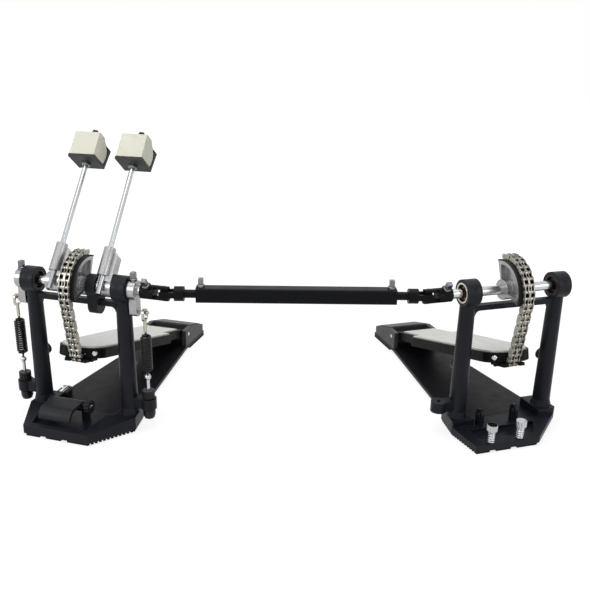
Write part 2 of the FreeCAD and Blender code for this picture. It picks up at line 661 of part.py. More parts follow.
def head_back_line():
    """The round back of the head in its side plane: where it starts at the foot, its middle and its end."""
    middle = Vector(d.head_back - d.head_round, d.head_round_height, 0)
    tip = Vector(-d.head_top_front, d.head_tall, 0) - middle
    turn = math.atan2(tip.y, tip.x) - math.acos(d.head_round / tip.Length)
    foot_turn = -math.asin(d.head_round_height / d.head_round)
    return [middle + Vector(math.cos(angle), math.sin(angle), 0) * d.head_round
            for angle in (foot_turn, (foot_turn + turn) / 2, turn)]


def beater(prefix, place, x):
    """The rod, the head and the shell that carries it, with an arm up the head's back."""
    here = place.multiply(BEATER_PLACE)
    rod_line = Vector(x, -d.rod_forward, 0)
    node(cylinder("beater_rod_radius",
                  "beater_rod_low + head_start + shell_thick + head_tall + rod_above_head",
                  Placement(rod_line - Z_AXIS * d.beater_rod_low, Rotation())), f"{prefix}_beater_rod", here)
    foot, bulge, end = head_back_line()
    head_points = [(-d.head_front, 0), (foot.x, 0), (end.x, end.y, (bulge.x, bulge.y)),
                   (-d.head_top_front, d.head_tall), (-d.head_front, d.head_tall)]
    hole_start = Placement(rod_line + Z_AXIS * (d.head_start - d.overrun), Rotation())
    above_shell = Placement(rod_line + Z_AXIS * (d.head_start + d.shell_thick), Rotation())
    head = pad("YZ_Plane", head_points, "head_wide", above_shell, both_ways=True)
    head_hole = cylinder("beater_rod_radius + seat_gap", "shell_thick + head_tall + 2 * overrun", hole_start)
    node(cut(head, head_hole), f"{prefix}_beater_head", here)
    arm_foot = foot.x + d.arm_gap
    arm_knee = d.head_back + d.arm_gap
    arm_tip = d.beater_rod_radius + d.arm_rod_gap
    arm_top = d.head_tall + d.arm_rise
    shell_points = [
        (-d.head_front, 0), (-d.head_front, -d.shell_thick), (arm_foot + d.arm_thick, -d.shell_thick),
        (arm_knee + d.arm_thick, d.arm_knee_height), (arm_tip + d.arm_thick, arm_top),
        (arm_tip, arm_top), (arm_knee, d.arm_knee_height), (arm_foot, 0),
    ]
    shell = pad("YZ_Plane", shell_points, "shell_wide", above_shell, both_ways=True)
    shell_hole = cylinder("beater_rod_radius + seat_gap", "shell_thick + 2 * overrun", hole_start)
    side = d.shell_wide / 2
    out = side + d.overrun
    above = arm_top + d.overrun
    tapers = []
    for way in (-1, 1):
        corner = [(way * side, d.arm_knee_height), (way * out, d.arm_knee_height), (way * out, above),
                  (way * d.arm_tip_half, above), (way * d.arm_tip_half, arm_top)]
        tapers.append(pad("XZ_Plane", corner, "2 * (head_back + arm_gap + arm_thick + overrun)", above_shell,
                          both_ways=True))
    node(cut(shell, shell_hole, *tapers), f"{prefix}_beater_shell", here)


# Rockers, springs and tension rods, on one side of the primary pedal

PIN_HEIGHT = d.axle_height - d.rocker_reach
SLOT_TOP = PIN_HEIGHT + d.rocker_pin_radius + d.part_gap - d.link_slot_radius
SPRING_LOW = d.spring_eye_height + d.rod_eye_radius + d.part_gap
LINK_LOW = SLOT_TOP - d.link_slot_long - d.link_half - d.link_tail


def rocker(label, place, side):
    """A collar clamped on the axle, with an arm down to the pin that pulls the spring."""
    start = ROCKER_START if side > 0 else -ROCKER_END
    pin_start = ROCKER_END if side > 0 else -LUG_REACH - d.link_thick / 2 - d.rocker_pin_end
    tip = Vector(start, 0, PIN_HEIGHT)
    arm = block("rocker_wide", "2 * rocker_tip_radius", "rocker_reach", Placement(
        tip - Y_AXIS * d.rocker_tip_radius, Rotation()))
    body = fuse(
        rod_x("rocker_radius", "rocker_wide", AXLE + X_AXIS * start), arm,
        rod_x("rocker_tip_radius", "rocker_wide", tip),
        rod_x("rocker_pin_radius",
              "post_foot_radius + nut_radius + lug_clear + link_thick / 2 + rocker_pin_end"
              " - housing_long / 2 - rocker_gap - rocker_wide", Vector(pin_start, 0, PIN_HEIGHT)))
    bore = rod_x("axle_radius + seat_gap", "rocker_wide + 2 * overrun", AXLE + X_AXIS * (start - d.overrun))
    node(cut(body, bore), label, place)


def spring_link(label, place, side):
    """The eye that hangs on the rocker's pin, loose enough for the pull of the spring, and its tail."""
    here = at(side * LUG_REACH, 0, 0)

    def loop(radius):
        low = SLOT_TOP - d.link_slot_long
        return [(radius, SLOT_TOP), (-radius, SLOT_TOP, (0, SLOT_TOP + radius)),
                (-radius, low), (radius, low, (0, low - radius))]

    body = pad("YZ_Plane", loop(d.link_half), "link_thick", here, both_ways=True)
    slot = pad("YZ_Plane", loop(d.link_slot_radius), "link_thick + 2 * overrun", here, both_ways=True)
    tail = cylinder("link_tail_radius", "link_tail + link_half / 2", at(side * LUG_REACH, 0, LINK_LOW))
    node(fuse(cut(body, slot), tail), label, place)


def biarc(start, start_way, end, end_way):
    """Two arcs that leave start and reach end along the given directions."""
    span = end - start
    ways = start_way + end_way
    square = 2 * (1 - start_way.dot(end_way))
    along = 2 * span.dot(ways)
    leg = 2 * span.dot(span) / (along + math.sqrt(along * along + 4 * square * span.dot(span)))
    first = start + start_way * leg
    second = end - end_way * leg
    joint = (first + second) * 0.5
    edges = []
    for low, corner, high in ((start, first, joint), (joint, second, end)):
        weight = (high - low).Length / 2 / leg
        middle = (low + corner * (2 * weight) + high) * (1 / (2 + 2 * weight))
        edges.append(Part.Arc(low, middle, high).toShape())
    return edges


def spring_shape(low, high):
    """One unbroken wire: a straight end, a bend out to the coil, the turns, and the same again."""
    wire = d.spring_wire
    radius = d.spring_radius - wire
    stub = 2 * wire
    bend = d.spring_bend
    rise = high - low - 2 * (stub + bend)
    slope = math.atan2(rise, SPRING_TURNS * 2 * math.pi * radius)
    steps = QUARTERS * SPRING_TURNS

    def on_coil(step):
        angle = step * 2 * math.pi / QUARTERS
        height = low + stub + bend + rise * step / steps
        spot = Vector(radius * math.cos(angle), radius * math.sin(angle), height)
        way = Vector(-math.sin(angle), math.cos(angle), 0) * math.cos(slope) + Z_AXIS * math.sin(slope)
        return spot, way

    foot = Vector(0, 0, low)
    head = Vector(0, 0, high)
    edges = [Part.LineSegment(foot, foot + Z_AXIS * stub).toShape()]
    edges += biarc(foot + Z_AXIS * stub, Z_AXIS, *on_coil(0))
    for step in range(steps):
        edges += biarc(*on_coil(step), *on_coil(step + 1))
    edges += biarc(*on_coil(steps), head - Z_AXIS * stub, Z_AXIS)
    edges.append(Part.LineSegment(head - Z_AXIS * stub, head).toShape())
    shell = Part.BRepOffsetAPI.MakePipeShell(Part.Wire(edges))
    shell.add(Part.Wire([Part.makeCircle(wire, foot, Z_AXIS)]))
    shell.build()
    shell.makeSolid()
    return shell.shape(), edges


def least_gap(edges):
    """The least gap of the wire to itself, from points along its middle line."""
    points = [point for edge in edges for point in edge.discretize(Number=ARC_POINTS)]
    half_turn = ARC_POINTS * QUARTERS
    nearest = min((points[i] - points[j]).Length for i in range(len(points))
                  for j in range(i + half_turn, len(points)))
    return nearest - 2 * d.spring_wire


def spring(label, place, side):
    shape, edges = spring_shape(SPRING_LOW, LINK_LOW)
    print(label, "least gap", round(least_gap(edges), 3))
    feature = solid(shape)
    feature.Placement = at(side * LUG_REACH, 0, 0)
    node(feature, label, place)


def tension_rod(label, place, side):
    """The rod through the lug, with the ball and pin that the spring turns on, the nut and the knob."""
    x = side * LUG_REACH
    lug_top = d.lug_low + d.lug_tall
    knob_top = d.lug_low - d.part_gap
    ball = doc.addObject("Part::Sphere", "Ball")
    bind(ball, Radius="rod_eye_radius")
    ball.Placement = at(x, 0, d.spring_eye_height)
    knob_low = knob_top - d.knob_tall
    body = fuse(
        cylinder("rod_width / 2", "spring_eye_height - lug_low + part_gap + knob_tall / 2",
                 at(x, 0, knob_top - d.knob_tall / 2)),
        ball,
        rod_x("eye_pin_radius", "2 * eye_pin_reach", Vector(x - d.eye_pin_reach, 0, d.spring_eye_height)),
        cylinder("nut_radius", "nut_tall", at(x, 0, lug_top + d.part_gap)),
        cone("knob_radius * knob_foot_share", "knob_radius", "knob_tall", at(x, 0, knob_low)))
    node(body, label, place)


# Drive shaft. A yoke lies along x with its joint's centre at the origin and its fork towards +x.

MAIN_JOINT = MAIN_PLACE.multVec(AXLE + X_AXIS * JOINT_X)
SLAVE_JOINT = SLAVE_PLACE.multVec(AXLE - X_AXIS * JOINT_X)
TUBE_START = d.shaft_yoke_long + d.rod_show
TUBE_LONG = (f"pedal_spacing - 2 * {JOINT_REACH} * cos(toe_in_angle * 1 deg)"
             " - 2 * (shaft_yoke_long + rod_show)")


def yoke_body(turn, pin_gap, long):
    """A round bar with a fork, its slot and its pin hole. The fork's pin is upright before the turn."""
    tall = "2 * (yoke_radius + overrun)"
    low = -d.yoke_radius - d.overrun
    half = d.yoke_slot / 2
    fork_end = d.yoke_ear + d.overrun
    bar = rod_x("yoke_radius", f"{long} + yoke_ear", Vector(-float(sheet.get(long)), 0, 0))
    slot = pad("XZ_Plane", [(-d.yoke_throat, -half), (fork_end, -half), (fork_end, half),
                            (-d.yoke_throat, half)], tall, Placement(Vector(), turn), both_ways=True)
    hole = cylinder(f"cross_pin_radius + {pin_gap}", tall, Placement(turn.multVec(Z_AXIS * low), turn))
    sides = []
    for y in (d.yoke_ear_half, -d.yoke_ear_half - d.yoke_radius):
        sides.append(block("yoke_throat + yoke_ear + overrun", "yoke_radius", tall,
                           Placement(turn.multVec(Vector(-d.yoke_throat, y, low)), turn)))
    return [bar, slot, hole] + sides


def axle_yoke(label, place):
    bore = rod_x("axle_radius + seat_gap", "axle_yoke_long - yoke_throat",
                 Vector(-d.axle_yoke_long - d.overrun, 0, 0))
    node(cut(*yoke_body(Rotation(), "running_gap", "axle_yoke_long"), bore), label, place)


def cross(label, place):
    side = d.cross_side
    body = block("cross_side", "cross_side", "cross_side", at(-side / 2, -side / 2, -side / 2))
    pin_long = "2 * yoke_radius"
    upright = cylinder("cross_pin_radius", pin_long, at(0, 0, -d.yoke_radius))
    level = cylinder("cross_pin_radius", pin_long,
                     Placement(Vector(0, d.yoke_radius, 0), Rotation(X_AXIS, 90)))
    node(fuse(body, upright, level), label, place)


def drive_rod(label, place):
    """A yoke and the rod that slides in the square tube."""
    yoke = cut(*yoke_body(Rotation(X_AXIS, -90), "loose_gap", "shaft_yoke_long"))
    rod = rod_x("drive_rod_radius", "shaft_yoke_long + rod_show + rod_insert - yoke_throat - overrun",
                Vector(-TUBE_START - d.rod_insert, 0, 0))
    node(fuse(yoke, rod), label, place)


def drive_tube(label):
    half = d.tube_side / 2
    flat = half - d.tube_corner
    bulge = half - d.tube_corner * CORNER_SHARE
    points = []
    for sy, sz in ((1, -1), (1, 1), (-1, 1), (-1, -1)):
        first = (sy * flat, sz * half) if sy * sz < 0 else (sy * half, sz * flat)
        second = (sy * half, sz * flat) if sy * sz < 0 else (sy * flat, sz * half)
        points.append(first)
        points.append(second + ((sy * bulge, sz * bulge),))
    start = Placement(MAIN_JOINT + X_AXIS * TUBE_START, Rotation())
    body = pad("YZ_Plane", points, TUBE_LONG, start)
    bore = rod_x("drive_rod_radius + running_gap", f"{TUBE_LONG} + 2 * overrun",
                 start.Base - X_AXIS * d.overrun)
    node(cut(body, bore), label, HOME)


# Hoop clamp on the primary's toe and spurs on the slave's

JAW_PIVOT = Vector(0, -d.jaw_pivot_back, d.jaw_pivot_height)


def clamp_jaw(label, place):
    """The curved jaw, which turns on its own pin: a plate forward from the pivot with a lip bent down."""
    thick = d.jaw_thick
    reach = d.jaw_reach
    lip = d.jaw_lip
    bend = lip * (1 - CORNER_SHARE)
    points = [
        (0, d.jaw_ear_radius), (-reach + lip, d.jaw_ear_radius),
        (-reach, d.jaw_ear_radius - lip, (-reach + lip - bend, d.jaw_ear_radius - lip + bend)),
        (-reach + thick, d.jaw_ear_radius - lip),
        (-reach + lip, d.jaw_ear_radius - thick,
         (-reach + lip - bend * (lip - thick) / lip, d.jaw_ear_radius - lip + bend * (lip - thick) / lip)),
        (0, d.jaw_ear_radius - thick),
    ]
    middle = (d.jaw_left + d.jaw_right) / 2
    plate = pad("YZ_Plane", points, "jaw_right - jaw_left",
                Placement(JAW_PIVOT + X_AXIS * middle, Rotation()), both_ways=True)
    barrel = rod_x("jaw_ear_radius", "jaw_right - jaw_left", JAW_PIVOT + X_AXIS * d.jaw_left)
    bore = rod_x("jaw_pin_radius + running_gap", "jaw_right - jaw_left + 2 * overrun",
                 JAW_PIVOT + X_AXIS * (d.jaw_left - d.overrun))
    node(cut(fuse(plate, barrel), bore), label, place)


def clamp_knob(label, place):
    """The clamp's screw through both ears, with its knob outside the right one."""
    start = d.jaw_left - d.jaw_ear_thick - d.part_gap
    knob_start = d.jaw_right + d.part_gap + d.jaw_ear_thick + d.clamp_knob_gap
    screw = rod_x("jaw_pin_radius", "jaw_right - jaw_left + 2 * (jaw_ear_thick + part_gap) + clamp_knob_gap",
                  JAW_PIVOT + X_AXIS * start)
    knob = rod_x("clamp_knob_radius", "clamp_knob_thick", JAW_PIVOT + X_AXIS * knob_start)
    node(fuse(screw, knob), label, place)


def spur_bolts(label, place):
    bolts = []
    for x in (d.spur_left, d.spur_right):
        foot = Vector(x, -d.spur_back, d.foot_height)
        bolts.append(fuse(
            cylinder("spur_radius", "spur_tall", Placement(foot, Rotation())),
            cylinder("spur_head_radius", "spur_head_tall",
                     Placement(foot + Z_AXIS * (d.spur_tall - d.spur_head_tall), Rotation()))))
    node(fuse(*bolts), label, place)


# The whole part

def pedal(prefix, place, toe, lug_sides, has_clamp, x):
    frame(f"{prefix}_frame", place, toe, lug_sides, has_clamp)
    base_plate(f"{prefix}_base_plate", place)
    rubber_feet(f"{prefix}_rubber_feet", place, toe)
    heel_block(f"{prefix}_heel_block", place)
    hinge_pin(f"{prefix}_hinge_pin", place)
    bearings(f"{prefix}_bearings", place)
    footboard(f"{prefix}_footboard", place, x)
    tread_plate(f"{prefix}_tread_plate", place)
    toe_bracket(f"{prefix}_toe_bracket", place, x)
    cam(f"{prefix}_cam", place, x)
    chain(f"{prefix}_chain_wrap", place, x, FIRST_WRAP, FIRST_WRAP + WRAP_LINKS)
    chain(f"{prefix}_chain_upper", place, x, FIRST_UPPER, FIRST_WRAP)
    chain(f"{prefix}_chain_lower", place, x, FIRST_BEND, FIRST_UPPER)
    chain(f"{prefix}_chain_drop", place, x, TOE_PIN, FIRST_BEND)
    chain(f"{prefix}_chain_toe", place, x, TOE_PIN - TOE_LINKS, TOE_PIN, open_end=True)


def spring_side(prefix, side):
    rocker(f"{prefix}_rocker", MAIN_PLACE, side)
    spring_link(f"{prefix}_spring_link", MAIN_PLACE, side)
    spring(f"{prefix}_spring", MAIN_PLACE, side)
    tension_rod(f"{prefix}_tension_rod", MAIN_PLACE, side)


pedal("main", MAIN_PLACE, MAIN_TOE, (-1, 1), True, d.cam_offset)
pedal("slave", SLAVE_PLACE, SLAVE_TOE, (-1,), False, -d.cam_offset)
spring_side("main", -1)
spring_side("slave", 1)
centre_support("centre_support", MAIN_PLACE)
axle("main_axle", MAIN_PLACE, -ROCKER_END,
     "post_spacing / 2 + housing_long / 2 + rocker_gap + rocker_wide"
     " + support_left + (support_wide - shaft_split) / 2")
axle("slave_beater_axle", MAIN_PLACE, SHAFT_MEET + d.shaft_split / 2,
     f"{JOINT_REACH} - yoke_throat - overrun - support_left - (support_wide + shaft_split) / 2")
axle("slave_axle", SLAVE_PLACE, -YOKE_BORE_END,
     f"{JOINT_REACH} - yoke_throat - overrun + (post_spacing + housing_long) / 2")
beater_hub("main_beater_hub", MAIN_PLACE, d.main_beater_place,
           d.main_beater_place + d.tube_radius - d.hub_wide)
beater_hub("slave_beater_hub", MAIN_PLACE, d.slave_beater_place, d.slave_beater_place - d.tube_radius)
beater("main", MAIN_PLACE, d.main_beater_place)
beater("slave", MAIN_PLACE, d.slave_beater_place)
MAIN_JOINT_PLACE = Placement(MAIN_JOINT, Rotation(Z_AXIS, -d.toe_in_angle))
SLAVE_JOINT_PLACE = Placement(SLAVE_JOINT, Rotation(Z_AXIS, d.toe_in_angle + 180))
LEFT_END = Placement(MAIN_JOINT, Rotation(Z_AXIS, 180))
RIGHT_END = Placement(SLAVE_JOINT, Rotation())
axle_yoke("left_yoke", MAIN_JOINT_PLACE)
axle_yoke("right_yoke", SLAVE_JOINT_PLACE)
cross("left_cross", LEFT_END)
cross("right_cross", RIGHT_END)
drive_rod("left_shaft_rod", LEFT_END)
drive_rod("right_shaft_rod", RIGHT_END)
drive_tube("drive_tube")
clamp_jaw("hoop_clamp_jaw", MAIN_PLACE)
clamp_knob("hoop_clamp_knob", MAIN_PLACE)
spur_bolts("spur_bolts", SLAVE_PLACE)

doc.recompute()
for feature in doc.Objects:
    if "Invalid" in feature.State or "Error" in feature.State:
        raise RuntimeError(f"{feature.Label} failed: {feature.State}")
for feature in nodes:
    if feature.Shape.isNull() or not feature.Shape.isValid():
        raise RuntimeError(f"{feature.Label} has no valid shape")
os.makedirs("parts", exist_ok=True)
for feature in nodes:
    feature.Shape.exportStep(f"parts/{feature.Label}.step")
print(len(nodes), "sub-parts written")
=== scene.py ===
import json
import math

import bmesh
import bpy
from mathutils import Matrix, Vector
from mathutils.geometry import convex_hull_2d


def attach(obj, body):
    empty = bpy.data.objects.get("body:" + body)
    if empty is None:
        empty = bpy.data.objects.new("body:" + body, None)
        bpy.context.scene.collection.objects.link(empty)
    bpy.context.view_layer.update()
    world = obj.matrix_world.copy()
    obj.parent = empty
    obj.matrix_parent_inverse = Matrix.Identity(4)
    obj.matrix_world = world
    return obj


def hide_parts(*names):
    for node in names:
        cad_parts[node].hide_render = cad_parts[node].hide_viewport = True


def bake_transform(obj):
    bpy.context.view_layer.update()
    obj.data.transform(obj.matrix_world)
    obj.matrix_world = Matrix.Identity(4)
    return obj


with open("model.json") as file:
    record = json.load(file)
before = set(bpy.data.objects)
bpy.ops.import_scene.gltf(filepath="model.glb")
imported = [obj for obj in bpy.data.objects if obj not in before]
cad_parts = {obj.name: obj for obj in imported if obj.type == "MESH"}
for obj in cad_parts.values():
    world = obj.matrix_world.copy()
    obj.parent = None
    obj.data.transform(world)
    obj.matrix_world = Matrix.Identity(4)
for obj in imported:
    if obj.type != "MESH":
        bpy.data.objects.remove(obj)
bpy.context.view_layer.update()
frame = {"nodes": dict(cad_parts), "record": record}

# Lengths are in metres in the part's frame. MM turns a length in millimetres into metres.
MM = 0.001
JOINTS = {joint["name"]: joint for joint in frame["record"]["behaviour"]["joints"]}
SLOTS = {sub["node"]: sub["material_slot"] for sub in frame["record"]["subparts"]}


# Places: each pedal has its own frame, with x along its axle, y to the heel and its origin on the floor

QUARTER = 90


def pedal_place(press_joint):
    spot = Vector(press_joint["pos_m"])
    axle = Vector(press_joint["axis"])
    return Matrix.Translation((spot.x, spot.y, 0)) @ Matrix.Rotation(math.atan2(axle.y, axle.x), 4, "Z")


def extent(node, place):
    """The lowest and highest corner of a CAD node in the frame of a place."""
    back = place.inverted()
    points = [back @ vertex.co for vertex in frame["nodes"][node].data.vertices]
    return [Vector(pick(point[axis] for point in points) for axis in range(3)) for pick in (min, max)]


def shift(x, y, z):
    return Matrix.Translation((x, y, z))


def turn(degrees, axis):
    return Matrix.Rotation(math.radians(degrees), 4, axis)


MAIN = pedal_place(JOINTS["main_press"])
SLAVE = pedal_place(JOINTS["slave_press"])
PLACES = {"main": MAIN, "slave": SLAVE}
AXLE_HEIGHT = JOINTS["main_press"]["pos_m"][2]
BEATER_LEAN = math.degrees(math.acos(JOINTS["main_beater_height"]["axis"][2]))
BEATER_PLACE = MAIN @ shift(0, 0, AXLE_HEIGHT) @ turn(-BEATER_LEAN, "X")


# Shader node groups: grain and wear that several finishes share

# Places of the colour sockets on a mix node
MIX_FIRST = 6
MIX_SECOND = 7
MIX_RESULT = 2


def new_group(name, inputs, outputs):
    """A shader node group with named sockets, and its two ends."""
    group = bpy.data.node_groups.new(name, "ShaderNodeTree")
    for socket, kind, value in inputs:
        group.interface.new_socket(socket, in_out="INPUT", socket_type=kind).default_value = value
    for socket, kind in outputs:
        group.interface.new_socket(socket, in_out="OUTPUT", socket_type=kind)
    return group, group.nodes.new("NodeGroupInput"), group.nodes.new("NodeGroupOutput")


def maths(tree, operation, first, second, clamp=False):
    """A maths node on two sockets or numbers."""
    node = tree.nodes.new("ShaderNodeMath")
    node.operation = operation
    node.use_clamp = clamp
    for socket, source in zip(node.inputs, (first, second)):
        if isinstance(source, (int, float)):
            socket.default_value = source
        else:
            tree.links.new(source, socket)
    return node.outputs[0]


def mixed(tree, factor, first, second):
    """A colour mix of two sockets or colours."""
    node = tree.nodes.new("ShaderNodeMix")
    node.data_type = "RGBA"
    sockets = (node.inputs["Factor"], node.inputs[MIX_FIRST], node.inputs[MIX_SECOND])
    for socket, source in zip(sockets, (factor, first, second)):
        if isinstance(source, (tuple, float)):
            socket.default_value = source
        else:
            tree.links.new(source, socket)
    return node.outputs[MIX_RESULT]


def noise(tree, vector, scale, detail):
    node = tree.nodes.new("ShaderNodeTexNoise")
    node.inputs["Detail"].default_value = detail
    tree.links.new(vector, node.inputs["Vector"])
    if isinstance(scale, (int, float)):
        node.inputs["Scale"].default_value = scale
    else:
        tree.links.new(scale, node.inputs["Scale"])
    return node.outputs["Fac"]


FINE_DETAIL = 3
BROAD_DETAIL = 4
BROAD_SCALE_SHARE = 0.06
NOISE_MIDDLE = 0.5
EACH_NOISE_SHARE = 0.5
TINT_START = 0.35
TINT_GAIN = 3.3
GLOSS_GAIN = 4


def grain_group():
    """Mottled colour, uneven gloss and a fine height from two noises, which Stretch pulls into streaks."""
    tree, start, end = new_group(
        "surface_grain",
        [("Colour", "NodeSocketColor", (0.5, 0.5, 0.5, 1)), ("Tint", "NodeSocketColor", (0.4, 0.4, 0.4, 1)),
         ("Scale", "NodeSocketFloat", 900), ("Stretch", "NodeSocketVector", (1, 1, 1)),
         ("Roughness", "NodeSocketFloat", 0.4), ("Roughness Spread", "NodeSocketFloat", 0.15)],
        [("Colour", "NodeSocketColor"), ("Roughness", "NodeSocketFloat"), ("Height", "NodeSocketFloat")])
    places = tree.nodes.new("ShaderNodeTexCoord")
    stretched = tree.nodes.new("ShaderNodeVectorMath")
    stretched.operation = "MULTIPLY"
    tree.links.new(places.outputs["Object"], stretched.inputs[0])
    tree.links.new(start.outputs["Stretch"], stretched.inputs[1])
    fine = noise(tree, stretched.outputs[0], start.outputs["Scale"], FINE_DETAIL)
    broad_scale = maths(tree, "MULTIPLY", start.outputs["Scale"], BROAD_SCALE_SHARE)
    broad = noise(tree, stretched.outputs[0], broad_scale, BROAD_DETAIL)
    both = maths(tree, "ADD", maths(tree, "MULTIPLY", fine, EACH_NOISE_SHARE),
                 maths(tree, "MULTIPLY", broad, EACH_NOISE_SHARE))
    spread = maths(tree, "MULTIPLY", maths(tree, "SUBTRACT", both, NOISE_MIDDLE),
                   start.outputs["Roughness Spread"])
    sharp = maths(tree, "MULTIPLY", maths(tree, "SUBTRACT", both, TINT_START), TINT_GAIN, clamp=True)
    tree.links.new(mixed(tree, sharp, start.outputs["Colour"], start.outputs["Tint"]), end.inputs["Colour"])
    gloss = maths(tree, "ADD", start.outputs["Roughness"], maths(tree, "MULTIPLY", spread, GLOSS_GAIN))
    tree.links.new(gloss, end.inputs["Roughness"])
    tree.links.new(fine, end.inputs["Height"])
    return tree


EDGE_SAMPLES = 4
EDGE_GAIN = 6
PATCH_DETAIL = 4
PATCH_START = 0.42
PATCH_GAIN = 5


def edge_group():
    """Softened edges, as a normal, and a mask of the edges where the finish is rubbed off in patches."""
    tree, start, end = new_group(
        "rubbed_edges",
        [("Radius", "NodeSocketFloat", 0.6 * MM), ("Wear", "NodeSocketFloat", 0.5),
         ("Patch Scale", "NodeSocketFloat", 120)],
        [("Normal", "NodeSocketVector"), ("Mask", "NodeSocketFloat")])
    soft = tree.nodes.new("ShaderNodeBevel")
    soft.samples = EDGE_SAMPLES
    tree.links.new(start.outputs["Radius"], soft.inputs["Radius"])
    flat = tree.nodes.new("ShaderNodeNewGeometry")
    facing = tree.nodes.new("ShaderNodeVectorMath")
    facing.operation = "DOT_PRODUCT"
    tree.links.new(soft.outputs["Normal"], facing.inputs[0])
    tree.links.new(flat.outputs["Normal"], facing.inputs[1])
    turned = maths(tree, "SUBTRACT", 1, facing.outputs["Value"])
    edge = maths(tree, "MULTIPLY", turned, EDGE_GAIN, clamp=True)
    places = tree.nodes.new("ShaderNodeTexCoord")
    patch = noise(tree, places.outputs["Object"], start.outputs["Patch Scale"], PATCH_DETAIL)
    patchy = maths(tree, "MULTIPLY", maths(tree, "SUBTRACT", patch, PATCH_START), PATCH_GAIN, clamp=True)
    worn = maths(tree, "MULTIPLY", maths(tree, "MULTIPLY", edge, patchy), start.outputs["Wear"], clamp=True)
    tree.links.new(soft.outputs["Normal"], end.inputs["Normal"])
    tree.links.new(worn, end.inputs["Mask"])
    return tree


GRAIN = grain_group()
EDGES = edge_group()


# A screen's tone curve: straight in the darkest steps, then a power
SCREEN_STEPS = 255
STRAIGHT_END = 0.04045
STRAIGHT_SLOPE = 12.92
CURVE_OFFSET = 0.055
CURVE_POWER = 2.4


def linear(red, green, blue):
    """A colour given in the 0 to 255 steps of a screen."""
    def tone(value):
        share = value / SCREEN_STEPS
        if share <= STRAIGHT_END:
            return share / STRAIGHT_SLOPE
        return ((share + CURVE_OFFSET) / (1 + CURVE_OFFSET)) ** CURVE_POWER
    return (tone(red), tone(green), tone(blue), 1)


BUMP_DISTANCE = 0.2 * MM


def finish_of(name, colour, tint, worn, *, metallic=0.0, roughness=0.4, spread=0.12, scale=900,
              stretch=(1, 1, 1), bump=0.06, edge=0.5, wear=0.4, specular=0.5, sheen=0.0):
    """A finish: grain on colour and gloss, soft edges, and the colour that shows at a rubbed edge."""
    material = bpy.data.materials.new(name)
    material.use_nodes = True
    tree = material.node_tree
    shader = tree.nodes["Principled BSDF"]
    for socket, value in (("Metallic", metallic), ("Specular IOR Level", specular),
                          ("Sheen Weight", sheen)):
        shader.inputs[socket].default_value = value
    grain = tree.nodes.new("ShaderNodeGroup")
    grain.node_tree = GRAIN
    for socket, value in (("Colour", colour), ("Tint", tint), ("Scale", scale), ("Stretch", stretch),
                          ("Roughness", roughness), ("Roughness Spread", spread)):
        grain.inputs[socket].default_value = value
    edges = tree.nodes.new("ShaderNodeGroup")
    edges.node_tree = EDGES
    edges.inputs["Radius"].default_value = edge * MM
    edges.inputs["Wear"].default_value = wear
    raised = tree.nodes.new("ShaderNodeBump")
    raised.inputs["Strength"].default_value = bump
    raised.inputs["Distance"].default_value = BUMP_DISTANCE
    tree.links.new(grain.outputs["Height"], raised.inputs["Height"])
    tree.links.new(edges.outputs["Normal"], raised.inputs["Normal"])
    tree.links.new(raised.outputs["Normal"], shader.inputs["Normal"])
    rubbed = mixed(tree, edges.outputs["Mask"], grain.outputs["Colour"], worn)
    tree.links.new(rubbed, shader.inputs["Base Color"])
    tree.links.new(grain.outputs["Roughness"], shader.inputs["Roughness"])
    return material


